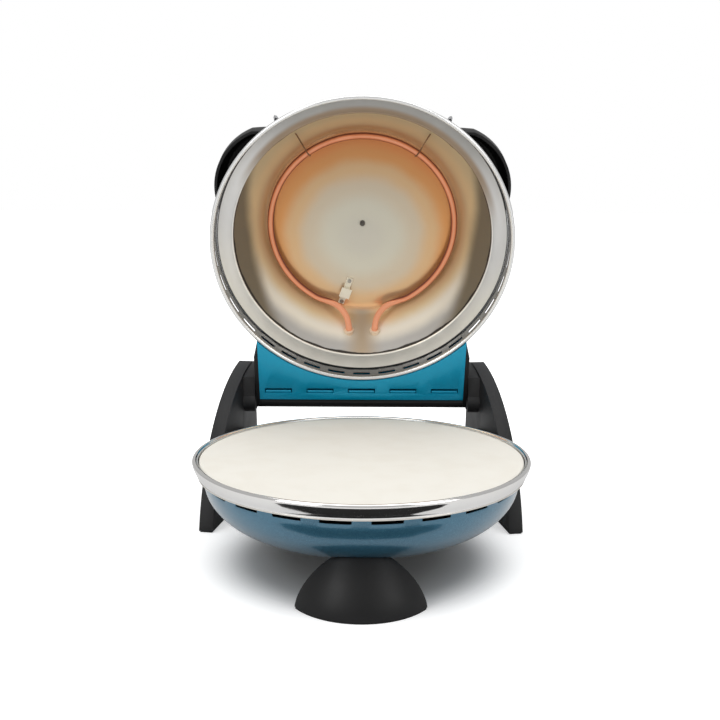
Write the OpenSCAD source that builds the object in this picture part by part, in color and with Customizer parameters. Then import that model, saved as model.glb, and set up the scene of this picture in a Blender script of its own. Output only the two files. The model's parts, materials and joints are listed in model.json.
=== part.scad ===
// Electric pizza maker: a round countertop cooker whose lid swings on a rear hinge.
// The piece is drawn standing on z = 0 with the stone's axis at x = 0, y = 0 and the
// front towards -Y. The lid is drawn closed and then swung open about its hinge.
// At the end everything is shifted so that the origin is the middle of the footprint.

/* [Baking stone] */
// Diameter of the baking stone
stone_d = 310; // [300:1:316]
// Thickness of the baking stone
stone_t = 12; // [9:0.5:14]
// How far the stone lies below the top of the base ring
stone_drop = 2; // [1:0.5:3]
// Clearance between the stone and the base ring
stone_gap = 0.8; // [0.5:0.1:1.5]

/* [Base] */
// Height of the base ring's top above the table
ring_top = 105; // [100:1:112]
// Radial width of the base ring outside the stone's clearance
ring_w = 5.7; // [5:0.1:8]
// Height of the base ring's skirt
ring_h = 12.5; // [11:0.5:13.5]
// How far the skirt's lower edge is drawn in
ring_draft = 3.9; // [3:0.1:4]
// Radius of the rolled edge on both steel rings
bead_r = 2.3; // [1.6:0.1:2.6]
// Thickness of the formed steel sheet
sheet_t = 1; // [0.8:0.1:1.4]
// Radius of the bowl at its upper edge
bowl_r = 151; // [148:0.5:152]
// Depth of the bowl
bowl_depth = 66; // [62:1:70]
// Squareness of the bowl's section
bowl_power = 2.4; // [2.2:0.1:2.8]
// Number of vent slots round the bowl
bowl_slots = 22; // [12:1:24]
// Length of a bowl slot
bowl_slot_len = 27; // [18:1:30]
// Height of a bowl slot
bowl_slot_h = 4; // [3:0.5:6]
// Depth of the base reflector pan below its flange
pan_depth = 33; // [26:1:36]
// Distance of the base reflector pan's floor edge inside the bowl's edge
pan_inset = 39; // [33:1:45]

/* [Heating elements] */
// Radius of the heating tube
tube_r = 3.5; // [3:0.1:4]
// Distance of the lower element's ring inside the pan floor's edge
low_inset = 18; // [14:1:24]
// Height of the lower element above the pan floor
low_lift = 17; // [12:1:20]
// Radius of the upper element's ring
up_ring_r = 102.5; // [99:0.5:104]
// Gap between the upper element's axis and the dish floor
up_lift = 9.5; // [7:0.5:12]
// Half the distance between the ends of an element
tube_end_x = 15; // [13:0.5:17]

/* [Lid] */
// Gap between the closed lid and the base ring
lid_gap = 1.5; // [1:0.1:2.5]
// Height of the lid's slotted ring
lid_ring_h = 19.5; // [18:0.5:21]
// Inner radius of the lid ring's slotted wall at its upper edge
lid_wall_r = 156; // [155.5:0.1:156.4]
// How far the slotted wall leans out towards its lower edge
lid_wall_lean = 1.3; // [0:0.1:1.5]
// Number of steam slots round the lid
lid_slots = 34; // [24:1:38]
// Length of a lid slot
lid_slot_len = 19; // [12:1:21]
// Height of a lid slot
lid_slot_h = 4; // [3:0.5:6]
// Height of the lid slots' lower edge above the lid's rim
lid_slot_z = 6.5; // [5:0.5:12]
// Radius of the dish's mouth
dish_mouth_r = 140; // [138:0.5:141]
// Height of the dish's mouth above the lid's rim
dish_mouth_h = 22.5; // [21:0.5:24]
// Radius where the dish's wall meets its floor
dish_floor_r = 108.5; // [107:0.5:111]
// Height of the dish's floor above the lid's rim
dish_h = 76.5; // [74:0.5:78]
// Distance of the dome's edge inside the slotted wall
dome_inset = 3.2; // [2.8:0.1:6]
// Height of the dome's top above the lid's rim
dome_h = 89; // [88.5:0.5:98]
// Squareness of the dome's section
dome_power = 2.8; // [2.6:0.1:3.2]

/* [Hinge] */
// Distance of the hinge axis behind the stone's axis
hinge_y = 194; // [188:1:200]
// Height of the hinge axis above the top of the base ring
hinge_up = 10; // [8:0.2:12]
// Angle by which the lid is opened
open_angle = 70; // [50:0.5:72]
// Half the width of the blue hinge box
box_x = 117; // [108:1:119]
// Where the side cheeks of the hinge frame begin, behind the stone's axis
cheek_y = 131; // [126:1:150]
// Thickness of the hinge frame's cheeks
cheek_t = 4.5; // [3:0.5:4.5]
// Height of the hinge box
box_h = 44; // [36:1:48]
// Radius of the hinge barrel
barrel_r = 7; // [6.5:0.1:8]
// Radius of the hinge pin
pin_r = 4; // [3:0.1:4.4]
// Running clearance of the hinge pin
pin_gap = 0.06; // [0.02:0.01:0.09]
// Length of the hinge pin
pin_len = 30; // [24:1:34]

/* [Legs and foot] */
// Half the distance between the legs' outer faces at their front tips
leg_x = 170.5; // [168:0.5:178]
// Distance of the legs' front tips behind the stone's axis
leg_y = 66; // [60:1:74]
// Length of a leg along the table
leg_len = 184; // [178:1:190]
// Thickness of a leg
leg_t = 15; // [12:0.5:16]
// Angle by which the legs turn in towards the rear
leg_toe = 9.3; // [8:0.1:10]
// Radius of the legs' curved front edge
leg_arc_r = 195.6; // [192:0.2:200]
// Radius of the arch under a leg
arch_r = 60; // [50:1:64]
// Radius of the front foot at the table
foot_r = 67; // [62:0.5:70]
// Height at which the front foot's curve would close
foot_peak = 85; // [82:1:90]
// Distance of the foot's axis in front of the stone's axis
foot_y = 87; // [84:1:90]
// Distance of the foot's flat rear face in front of the stone's axis
foot_cut_y = 122; // [118:1:125]
// Thickness of the rubber pads
pad_t = 1.5; // [1:0.1:2.5]

/* [Control handles] */
// Radius of a handle's outline
ear_r = 66.5; // [64:0.5:70]
// How far a handle reaches beyond the steel rings
ear_out = 11; // [8:0.5:14]
// Direction of a handle, counted from the front
ear_az = 57; // [55:0.5:59]
// Distance of a handle's flat front end from the lid's axis
ear_front = 119.5; // [118:0.5:124]
// Height of a handle's lower face above the lid's rim
ear_low = 22; // [20:0.5:24]
// Height of a handle's edge above the lid's rim
ear_edge = 36; // [33:1:42]
// Distance of a knob from the lid's axis
knob_at = 132; // [130:0.5:134]
// Direction of a knob, counted from the front
knob_az = 40.5; // [39:0.5:44]
// Tilt of a knob's face
knob_tilt = 18; // [15:1:20]
// Radius of a knob
knob_r = 15; // [12:0.5:17]
// Height of a knob's skirt
knob_h = 8; // [6:0.5:10]
// Height of a knob's grip above its skirt
grip_h = 6; // [4:0.5:8]

/* [Hidden] */
$fn = 96;

// Clearances
seat = 0.2;          // between pieces that are fixed to each other
air = 0.6;           // between a moving piece and a fixed one
hole_gap = 0.2;      // round a screw in its hole

// Base levels and radii
stone_r = stone_d / 2;
ring_r = stone_r + stone_gap + ring_w;
stone_top = ring_top - stone_drop;
pan_top = stone_top - stone_t;
bowl_top = pan_top - sheet_t - 0.02;
ring_inner_r = stone_r + stone_gap;
pan_r = ring_inner_r + sheet_t;
pan_floor_r = bowl_r - pan_inset;
pan_seat_r = bowl_r - 12;
low_ring_r = pan_floor_r - low_inset;
pan_floor = pan_top - pan_depth;
low_z = pan_floor + low_lift;
low_end_r = bowl_r - 9;

// Lid levels, drawn closed
lid_z = ring_top + lid_gap;
rim_r = lid_wall_r - seat;
rim_slope = (dish_mouth_h - lid_ring_h) / (rim_r - dish_mouth_r);
dome_t = 1.2;
dome_r = lid_wall_r - dome_inset;
dome_z = lid_z + lid_ring_h + (rim_r - dome_r + dome_t) * rim_slope + 0.05;
dome_depth = lid_z + dome_h - dome_z;
dish_floor = lid_z + dish_h;
up_z = dish_floor - up_lift;
annulus_z = lid_z + lid_ring_h - sheet_t;
wall_fillet = 11;

// Hinge
hinge_z = ring_top + hinge_up;
box_rear = hinge_y - barrel_r - 0.2;
box_z = lid_z;
cheek_x = box_x + cheek_t;
head_x = cheek_x + 1.2;
box_screw_z = [12, 32];
box_screw_in = 24;
bush_wall = 1.2;
bush_len = 14;
pin_in = cheek_x - bush_len - 1;

// Legs, foot and rear crossbar
leg_arc_y = leg_y + leg_arc_r * cos(10.3);
leg_arc_z = -leg_arc_r * sin(10.3);
head_y = hinge_y - 10;
head_r = 12.5;
arch_at = 99;
arch_y = leg_y + arch_at;
arch_z = -28;
bar_y = bowl_r + 19;
bar_d = 18;
bar_z = 58;
bar_h = 26;
bar_pad_x = 32;
bar_screw_x = 24;
bar_screw_z = bar_z + bar_h / 2;
leg_screw_z = [bar_z + 6, bar_z + bar_h - 6];
screw_r = 2;
head_screw_r = 4.2;
screw_in = 9;        // depth of a long screw in its hole
pin_screw_r = 1.6;   // radius of the small screws
foot_wall = 3;
foot_roof = 36;
foot_screw_x = 13;
foot_screw_y = 110;
foot_lug_x = 22;
foot_lug_y = 99;
foot_lug_z = 27;

// Cord gland in the bowl's rear
gland_az = 66;
gland_z = 70;
gland_bore_r = 3.6;
gland_r = 8;

// Handles and knobs
ear_reach = ring_r + ear_out;
pad_inner_r = dome_r - 41;
ear_rear = 22;
pad_h = 5;
ear_wall = 3;
crown_h = 14;
crown_in = 15.4;
crown_t = 8;
face_h = 72;
boss_r = 18.5;
shaft_r = 3;
lamp_at = 134;
lamp_az = 72;
lamp_r = 3;
handle_screw_az = [50, 64];

// Turn of a knob's grip from the outward direction to the front
grip_turn = -20;

frame_y = (leg_y + leg_len * cos(leg_toe) - ring_r) / 2;

// Radius of a body of revolution with a superelliptic section, at share t of its depth
function shell_r(r, power, t) = r * pow(max(0, 1 - pow(t, power)), 1 / power);

// Share of the depth reached at radius r
function shell_share(r, r0, power) = pow(max(0, 1 - pow(r / r0, power)), 1 / power);

// Outer surface of the bowl below its upper edge, at radius r
function bowl_z(r) = bowl_top - bowl_depth * shell_share(r, bowl_r, bowl_power);

// Outer surface of the dome at radius r
function dome_surface(r) = dome_z + dome_depth * shell_share(r, dome_r, dome_power);

// Points of a superelliptic section from its rim to its pole, dir is 1 up or -1 down
function section(r, depth, power, dir, n = 22) = [
  for (i = [0:n]) let(a = 90 * i / n)
    [r * pow(cos(a), 2 / power), dir * depth * pow(sin(a), 2 / power)]
];

// A point at radius r and azimuth az, counted from the front and positive to +X
function polar(r, az) = [r * sin(az), -r * cos(az)];

// Solid of revolution under a superelliptic section, with a straight collar
module shell_solid(r, depth, power, dir) {
  rotate_extrude() polygon(concat(section(r, depth, power, dir), [[0, 0]]));
}

// The lid's own movement from closed to open
module opened() {
  translate([0, hinge_y, hinge_z]) rotate([-open_angle, 0, 0])
    translate([0, -hinge_y, -hinge_z]) children();
}

// Where everything stands in the final frame
module placed() {
  translate([0, -frame_y, 0]) children();
}

// Both sides of the object
module both_sides() {
  children();
  mirror([1, 0, 0]) children();
}

// A straight tube between two points
module rod(a, b, r) {
  d = b - a;
  len = norm(d);
  translate(a) rotate([0, acos(d[2] / len), atan2(d[1], d[0])]) cylinder(r = r, h = len, $fn = 32);
}

// Rings of a tube that is swept along a list of points, kept upright on the way
function unit(v) = v / norm(v);

function along(p, i) = unit(p[min(i + 1, len(p) - 1)] - p[max(i - 1, 0)]);

function ring_at(p, i, r, sides) =
  let(t = along(p, i), s = unit(cross(t, [0, 0, 1])), u = cross(s, t))
  [for (k = [0:sides - 1]) p[i] + r * (cos(360 * k / sides) * s + sin(360 * k / sides) * u)];

module swept_tube(p, r, sides = 12) {
  n = len(p);
  polyhedron(
    points = [for (i = [0:n - 1]) each ring_at(p, i, r, sides)],
    faces = concat(
      [[for (k = [sides - 1:-1:0]) k]],
      [for (i = [0:n - 2]) for (k = [0:sides - 1])
        [i * sides + k, i * sides + (k + 1) % sides, (i + 1) * sides + (k + 1) % sides]],
      [for (i = [0:n - 2]) for (k = [0:sides - 1])
        [i * sides + k, (i + 1) * sides + (k + 1) % sides, (i + 1) * sides + k]],
      [[for (k = [0:sides - 1]) (n - 1) * sides + k]]));
}

// A path and its mirror image joined by an arc round the front
function mirrored(p) = [for (i = [len(p) - 1:-1:0]) [-p[i][0], p[i][1], p[i][2]]];

function element_path(end, r, z) = concat(
  mirrored(end),
  [for (a = [-144:6:144]) [r * sin(a), -r * cos(a), z]],
  end);

// Solids that pieces are fitted to
module bowl_body(grow = 0) {
  translate([0, 0, bowl_top]) shell_solid(bowl_r + grow, bowl_depth + grow, bowl_power, -1);
}

module dome_body(grow = 0) {
  translate([0, 0, dome_z]) shell_solid(dome_r + grow, dome_depth + grow, dome_power, 1);
}

// Base pieces

// Directions of the three lugs inside the bowl's rim, each between two slots
lug_az = [4 * 360 / 22, 180, 18 * 360 / 22];
lug_r = bowl_r - 6;

module lower_bowl() {
  color([0.05, 0.32, 0.44]) difference() {
    union() {
      difference() {
        bowl_body();
        translate([0, 0, bowl_top + 0.01])
          shell_solid(bowl_r - sheet_t, bowl_depth - sheet_t, bowl_power, -1);
      }
      for (az = lug_az) rotate([0, 0, az]) translate([-5, -bowl_r + 1.5, bowl_top - 9])
        cube([10, bowl_r - 1.5 - lug_r + 4, 9]);
    }
    for (az = lug_az) rotate([0, 0, az]) translate([0, -lug_r, bowl_top - 12])
      cylinder(r = pin_screw_r + 0.05, h = 20, $fn = 32);
    for (i = [0:bowl_slots - 1]) rotate([0, 0, (i + 0.5) * 360 / bowl_slots])
      translate([-bowl_slot_len / 2, -bowl_r - 3, bowl_top - 1 - bowl_slot_h])
        cube([bowl_slot_len, 9, bowl_slot_h]);
    both_sides() translate([bar_screw_x, bowl_r - 22, bar_screw_z]) rotate([-90, 0, 0])
      cylinder(r = screw_r + hole_gap, h = 30, $fn = 32);
    both_sides() translate([foot_screw_x, -foot_screw_y, 20])
      cylinder(r = screw_r + hole_gap, h = 60, $fn = 32);
    gland_placed() translate([0, 0, -14]) cylinder(r = gland_r - 2 + hole_gap, h = 40, $fn = 48);
  }
}

// Points of a rolled edge about a centre, from angle a to angle b
function rolled(c, r, a, b, n = 12) = [
  for (i = [0:n]) let(t = a + (b - a) * i / n) [c[0] + r * cos(t), c[1] + r * sin(t)]
];

module base_trim_ring() {
  skirt = ring_top - ring_h;
  t = 0.7;
  c = [ring_r - bead_r, ring_top - bead_r];
  color([0.8, 0.8, 0.78]) rotate_extrude() polygon(concat(
    [[ring_inner_r, pan_top + 0.02], [ring_inner_r, c[1] + 0.9]],
    rolled(c, bead_r, 155, 0),
    [[ring_r - ring_draft, skirt], [ring_r - ring_draft - t, skirt],
      [c[0] - 0.5, c[1] - 1.2], [ring_inner_r + t, c[1] - 1.2], [ring_inner_r + t, pan_top + 0.02]]));
}

module base_reflector_pan() {
  color([0.72, 0.71, 0.68]) difference() {
    rotate_extrude() polygon([
      [0, pan_floor], [pan_floor_r, pan_floor], [pan_seat_r, pan_top - sheet_t],
      [pan_r, pan_top - sheet_t], [pan_r, pan_top], [pan_seat_r - 1, pan_top],
      [pan_floor_r - 1, pan_floor + sheet_t], [0, pan_floor + sheet_t]]);
    both_sides() translate([tube_end_x, pan_floor_r - 12, low_z]) rotate([-90, 0, 0])
      cylinder(r = tube_r + 1.4 + hole_gap, h = pan_r - pan_floor_r, $fn = 32);
    for (az = lug_az) rotate([0, 0, az]) translate([0, -lug_r, pan_top - 5 * sheet_t])
      cylinder(r = pin_screw_r + hole_gap, h = 10 * sheet_t, $fn = 32);
  }
}

// Screws that hold the pan's flange down on the lugs of the bowl, flush under the stone
module pan_screws() {
  color([0.6, 0.6, 0.6]) for (az = lug_az) rotate([0, 0, az])
    translate([0, -lug_r, pan_top - screw_in]) cylinder(r = pin_screw_r, h = screw_in - 0.02, $fn = 32);
}

// Points of the lower element's end, from its ring to the outside of the pan's wall
function low_end() = [
  [low_ring_r * sin(30), low_ring_r * cos(30), low_z], [38, low_ring_r - 8, low_z],
  [29, low_ring_r - 2, low_z], [21, low_ring_r + 3, low_z],
  [tube_end_x + 1, low_ring_r + 9, low_z], [tube_end_x, low_ring_r + 14, low_z],
  [tube_end_x, low_end_r, low_z]
];

module lower_element() {
  color([0.35, 0.3, 0.28]) swept_tube(element_path(low_end(), low_ring_r, low_z), tube_r);
}

module lower_element_bushes() {
  wall_y = pan_floor_r + (pan_seat_r - pan_floor_r) * low_lift / pan_depth;
  flange_y = pan_floor_r + (pan_seat_r - pan_floor_r) * (low_lift + tube_r + 3)
    / (pan_depth - sheet_t) + 0.3;
  color([0.85, 0.82, 0.75]) both_sides() difference() {
    union() {
      translate([tube_end_x, wall_y - 7, low_z]) rotate([-90, 0, 0])
        cylinder(r = tube_r + 1.4, h = flange_y + 3 - wall_y + 7, $fn = 32);
      translate([tube_end_x, flange_y, low_z]) rotate([-90, 0, 0])
        cylinder(r = tube_r + 3, h = 3, $fn = 32);
    }
    translate([tube_end_x, wall_y - 10, low_z]) rotate([-90, 0, 0])
      cylinder(r = tube_r + 0.05, h = flange_y - wall_y + 20, $fn = 32);
  }
}

module lower_element_clips() {
  clip_h = low_lift - sheet_t;
  color([0.7, 0.7, 0.7]) for (az = [0, 110, 250]) rotate([0, 0, az])
    translate([0, -low_ring_r, pan_floor + sheet_t + 0.05]) difference() {
      translate([-3, -tube_r - 1.5, 0]) cube([6, 2 * tube_r + 3, clip_h + 1]);
      translate([-4, 0, clip_h]) rotate([0, 90, 0]) cylinder(r = tube_r + 0.05, h = 8, $fn = 32);
      translate([-4, -tube_r + 1, 1.5]) cube([8, 2 * tube_r - 2, clip_h - 4]);
    }
}

module terminal_block() {
  color([0.9, 0.88, 0.82]) difference() {
    translate([-20, low_ring_r - 32, pan_floor - 14 - 0.05]) cube([40, 18, 14]);
    for (x = [-12, 0, 12]) translate([x, low_ring_r - 23, pan_floor - 16])
      cylinder(r = 2.5, h = 8, $fn = 32);
  }
}

// Outline of the foot's section, from the table to its roof
function foot_section(shrink, top, n = 14) = [
  for (i = [0:n]) let(z = top * i / n)
    [foot_r * (1 - pow(z / foot_peak, 1.7)) - shrink, z]
];

module foot_form(shrink, top) {
  rotate_extrude() polygon(concat([[0, 0]], foot_section(shrink, top), [[0, top]]));
}

module front_foot() {
  color([0.13, 0.13, 0.14]) difference() {
    union() {
      intersection() {
        translate([0, -foot_y, 0]) foot_form(0, 60);
        translate([-100, -200, pad_t]) cube([200, 200 - foot_cut_y, 80]);
      }
      translate([-foot_lug_x, -foot_cut_y - 1, foot_lug_z])
        cube([2 * foot_lug_x, foot_cut_y + 1 - foot_lug_y, 30]);
    }
    intersection() {
      translate([0, -foot_y, 0]) foot_form(foot_wall, foot_roof);
      translate([-100, -200, -1]) cube([200, 200 - foot_cut_y - foot_wall, foot_roof + 1]);
    }
    bowl_body(seat);
    both_sides() translate([foot_screw_x, -foot_screw_y, foot_lug_z - 1])
      cylinder(r = screw_r + 0.05, h = 40, $fn = 32);
  }
}

// Inner surface of the bowl at radius r
function bowl_inside_z(r) = bowl_top + 0.01
  - (bowl_depth - sheet_t) * shell_share(r, bowl_r - sheet_t, bowl_power);

// Underside of the foot screws' heads, just clear of the bowl's rising inner surface
function foot_head_z() = bowl_inside_z(norm([foot_screw_x, foot_screw_y]) + head_screw_r) + 0.1;

module front_foot_screws() {
  seat_z = foot_head_z() + 2.2;
  color([0.6, 0.6, 0.6]) both_sides() translate([foot_screw_x, -foot_screw_y, foot_lug_z + 2]) {
    cylinder(r = screw_r, h = seat_z - foot_lug_z - 2, $fn = 32);
    translate([0, 0, seat_z - foot_lug_z - 4.2]) cylinder(r = head_screw_r, h = 2.2, $fn = 32);
  }
}

module front_foot_pad() {
  color([0.08, 0.08, 0.08]) difference() {
    intersection() {
      translate([0, -foot_y, 0]) cylinder(r = foot_r - 0.5, h = pad_t - 0.02);
      translate([-100, -200, 0]) cube([200, 199.5 - foot_cut_y, pad_t]);
    }
    intersection() {
      translate([0, -foot_y, -1]) cylinder(r = foot_r - foot_wall - 0.5, h = pad_t + 2);
      translate([-100, -200, -1]) cube([200, 200.5 - foot_cut_y - foot_wall, pad_t + 2]);
    }
  }
}

// A leg's outline, x is the distance along the table from the front tip, y the height
module leg_outline() {
  heel = leg_len;
  top = hinge_z + 56;
  difference() {
    intersection() {
      translate([leg_arc_y - leg_y, leg_arc_z]) circle(r = leg_arc_r, $fn = 128);
      polygon([[-20, pad_t], [heel, pad_t], [heel - 8, hinge_z - 4], [heel - 18, hinge_z + 32],
        [heel - 36, top], [-20, top]]);
    }
    translate([arch_y - leg_y, arch_z]) circle(r = arch_r);
  }
}

// A shape drawn in the leg's own plane stands up at the leg's place
module on_leg() {
  translate([leg_x, leg_y, 0]) rotate([0, 0, leg_toe]) rotate([90, 0, 90])
    translate([0, 0, -leg_t]) children();
}

module leg_plate(grow = 0) {
  on_leg() translate([0, 0, -grow]) linear_extrude(leg_t + 2 * grow) leg_outline();
}

// The thicker head that holds the hinge pin
module leg_head() {
  translate([head_x, 0, 0]) rotate([90, 0, 90]) linear_extrude(leg_x - 25 - head_x) union() {
    translate([hinge_y, hinge_z]) circle(r = head_r);
    intersection() {
      translate([leg_arc_y, leg_arc_z]) circle(r = leg_arc_r - 1, $fn = 128);
      polygon([[head_y, hinge_z - 4], [hinge_y + head_r, hinge_z - 4],
        [hinge_y + 38, hinge_z + 30], [hinge_y + 22, hinge_z + 56], [head_y, hinge_z + 56]]);
    }
  }
}

// Places of the two screws through a leg into the crossbar, in the leg's own plane
function leg_screw_at(i) = [(bar_y + bar_d / 2 - leg_y) / cos(leg_toe), leg_screw_z[i]];

module leg() {
  difference() {
    union() {
      leg_plate();
      leg_head();
    }
    translate([head_x - 1, hinge_y, hinge_z]) rotate([0, 90, 0])
      cylinder(r = pin_r + 0.05, h = pin_in + pin_len - head_x + 1.2, $fn = 48);
    for (i = [0, 1]) on_leg() translate([leg_screw_at(i)[0], leg_screw_at(i)[1], -1]) {
      cylinder(r = screw_r + hole_gap, h = leg_t + 2, $fn = 32);
      translate([0, 0, leg_t - 2]) cylinder(r = head_screw_r + 0.6, h = 5, $fn = 32);
    }
  }
}

module leg_screws() {
  color([0.3, 0.3, 0.3]) both_sides() for (i = [0, 1])
    on_leg() translate([leg_screw_at(i)[0], leg_screw_at(i)[1], 0]) {
      translate([0, 0, -screw_in]) cylinder(r = screw_r, h = leg_t + screw_in - 1.5, $fn = 32);
      translate([0, 0, leg_t - 1.95]) cylinder(r = head_screw_r, h = 1.7, $fn = 32);
    }
}

module leg_pads() {
  tip = arch_y - leg_y - sqrt(arch_r * arch_r - arch_z * arch_z);
  heel = arch_y - leg_y + sqrt(arch_r * arch_r - arch_z * arch_z);
  color([0.08, 0.08, 0.08]) both_sides() on_leg() {
    translate([1.5, 0, 1]) cube([tip - 3, pad_t - 0.02, leg_t - 2]);
    translate([heel + 1.5, 0, 1]) cube([leg_len - heel - 2.5, pad_t - 0.02, leg_t - 2]);
  }
}

module rear_crossbar() {
  color([0.15, 0.15, 0.16]) difference() {
    union() {
      translate([-leg_x, bar_y, bar_z]) cube([2 * leg_x, bar_d, bar_h]);
      translate([-bar_pad_x, bar_y - 40, bar_z]) cube([2 * bar_pad_x, 40 + 1, bar_h]);
    }
    bowl_body(seat);
    both_sides() on_leg() translate([-150, -50, -seat]) cube([400, 300, 60]);
    both_sides() translate([bar_screw_x, bar_y - 40, bar_screw_z]) rotate([-90, 0, 0])
      cylinder(r = screw_r + 0.05, h = 52, $fn = 32);
    both_sides() for (i = [0, 1]) on_leg()
      translate([leg_screw_at(i)[0], leg_screw_at(i)[1], -10]) cylinder(r = screw_r + 0.05, h = 20, $fn = 32);
    translate([-leg_x, bar_y + 3, bar_z - 1]) cube([2 * leg_x, bar_d - 6, bar_h - 4]);
    translate([-bar_pad_x + 5, bar_y - 9, bar_z - 1]) cube([2 * bar_pad_x - 10, 16, bar_h - 4]);
  }
}

module crossbar_screws() {
  wall_y = sqrt(pow(shell_r(bowl_r, bowl_power, (bowl_top - bar_screw_z) / bowl_depth), 2)
    - bar_screw_x * bar_screw_x);
  color([0.6, 0.6, 0.6]) both_sides() translate([bar_screw_x, wall_y - 5, bar_screw_z])
    rotate([-90, 0, 0]) {
      cylinder(r = screw_r, h = bar_y + 2 - wall_y, $fn = 32);
      translate([0, 0, -2.5]) cylinder(r = head_screw_r, h = 2.5, $fn = 32);
    }
}

module hinge_pins() {
  color([0.75, 0.75, 0.75]) both_sides() translate([pin_in, hinge_y, hinge_z])
    rotate([0, 90, 0]) cylinder(r = pin_r, h = pin_len, $fn = 48);
}

module friction_washers() {
  color([0.45, 0.3, 0.2]) both_sides() translate([cheek_x + 0.1, hinge_y, hinge_z])
    rotate([0, 90, 0]) difference() {
      cylinder(r = barrel_r + 2, h = head_x - cheek_x - 0.2, $fn = 48);
      translate([0, 0, -1]) cylinder(r = pin_r + 0.05, h = 4, $fn = 48);
    }
}

// The gland's axis points out of the bowl, radially and level
module gland_placed() {
  wall = shell_r(bowl_r, bowl_power, (bowl_top - gland_z) / bowl_depth);
  rotate([0, 0, -gland_az]) translate([0, wall, gland_z]) rotate([-90, 0, 0]) children();
}

module cord_gland() {
  color([0.1, 0.1, 0.1]) gland_placed() difference() {
    union() {
      translate([0, 0, -9]) cylinder(r = gland_r - 2, h = 20, $fn = 48);
      translate([0, 0, 4]) cylinder(r = gland_r, h = 5, $fn = 48);
      translate([0, 0, -9]) cylinder(r = gland_r, h = 3, $fn = 48);
    }
    translate([0, 0, -10]) cylinder(r = gland_bore_r, h = 30, $fn = 48);
  }
}

module baking_stone() {
  edge = 1.5;
  color([0.93, 0.91, 0.84]) translate([0, 0, pan_top + 0.02]) rotate_extrude() polygon([
    [0, 0], [stone_r - edge, 0], [stone_r, edge], [stone_r, stone_t - edge - 0.02],
    [stone_r - edge, stone_t - 0.02], [0, stone_t - 0.02]]);
}

// Lid pieces, drawn closed

module lid_trim_ring() {
  bead_z = lid_z + bead_r;
  wall_low_r = lid_wall_r + lid_wall_lean;
  color([0.8, 0.8, 0.78]) difference() {
    rotate_extrude() {
      translate([ring_r - bead_r, bead_z]) circle(r = bead_r, $fn = 48);
      translate([wall_low_r, lid_z + 0.8]) square([ring_r - bead_r - wall_low_r, sheet_t + 1.2]);
      polygon([[wall_low_r, lid_z + 0.8], [wall_low_r + sheet_t, lid_z + 0.8],
        [lid_wall_r + sheet_t, lid_z + lid_ring_h], [lid_wall_r, lid_z + lid_ring_h]]);
    }
    for (i = [0:lid_slots - 1]) rotate([0, 0, i * 360 / lid_slots])
      translate([-lid_slot_len / 2, lid_wall_r - 4, lid_z + lid_slot_z])
        cube([lid_slot_len, 9, lid_slot_h]);
  }
}

module lid_rim_pan() {
  color([0.78, 0.76, 0.71]) rotate_extrude() {
    polygon([[rim_r, annulus_z], [rim_r, annulus_z + sheet_t],
      [dish_mouth_r, lid_z + dish_mouth_h], [dish_mouth_r, lid_z + dish_mouth_h - sheet_t]]);
    translate([dish_mouth_r, lid_z + dish_mouth_h - 1.2]) circle(r = 1.2, $fn = 32);
  }
}

// Inside of the dish from its mouth to the start of its floor
function dish_wall(grow) =
  let(floor_z = dish_floor + grow, slope = atan2(dish_h - dish_mouth_h, dish_mouth_r - dish_floor_r))
  concat([[dish_mouth_r + grow, lid_z + dish_mouth_h + 0.05]], [
    for (i = [0:6]) let(a = (slope) * (1 - i / 6), k = wall_fillet * tan(slope / 2))
      [dish_floor_r - k + grow + wall_fillet * sin(a),
       floor_z - wall_fillet + wall_fillet * cos(a)]
  ]);

module dish_form(grow) {
  rotate_extrude() polygon(concat(dish_wall(grow), [[0, dish_floor + grow],
    [0, lid_z + dish_mouth_h + 0.05]]));
}

module reflector_dish() {
  color([0.76, 0.73, 0.68]) difference() {
    union() {
      dish_form(sheet_t);
      rotate_extrude() translate([dish_mouth_r - 1, lid_z + dish_mouth_h + 0.05])
        polygon([[0, 0], [9, 0], [9, sheet_t], [0, sheet_t]]);
    }
    translate([0, 0, -0.01]) dish_form(0);
    both_sides() rod(up_end()[7] - 8 * bush_dir(), up_end()[7] + 14 * bush_dir(), tube_r + 1.6 + hole_gap);
  }
}

// Points of the upper element's end, from its ring through the rear wall of the dish
function up_end() = [
  [up_ring_r * sin(30), up_ring_r * cos(30), up_z], [41, up_ring_r - 10.1, up_z - 0.5],
  [31, up_ring_r - 6.6, up_z - 2.5], [tube_end_x + 8.5, up_ring_r - 1.6, up_z - 6],
  [tube_end_x + 3, up_ring_r + 5, up_z - 11], [tube_end_x + 0.8, up_ring_r + 11, up_z - 15.6],
  [tube_end_x, up_ring_r + 16.3, up_z - 19.5], [tube_end_x, up_ring_r + 21.4, up_z - 18.4],
  [tube_end_x, up_ring_r + 32.1, up_z - 16.1]
];

module upper_element() {
  color([0.88, 0.45, 0.28]) swept_tube(element_path(up_end(), up_ring_r, up_z), tube_r);
}

// Sleeves round the element's ends where they pass the dish
function bush_dir() = unit(up_end()[8] - up_end()[7]);

module upper_element_bushes() {
  a = up_end()[7];
  dir = bush_dir();
  color([0.8, 0.7, 0.6]) both_sides() difference() {
    union() {
      rod(a - 4 * dir, a + 8 * dir, tube_r + 1.6);
      rod(a - 4 * dir, a - 2.2 * dir, tube_r + 2.5);
    }
    rod(a - 6 * dir, a + 9 * dir, tube_r + 0.05);
  }
}

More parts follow.
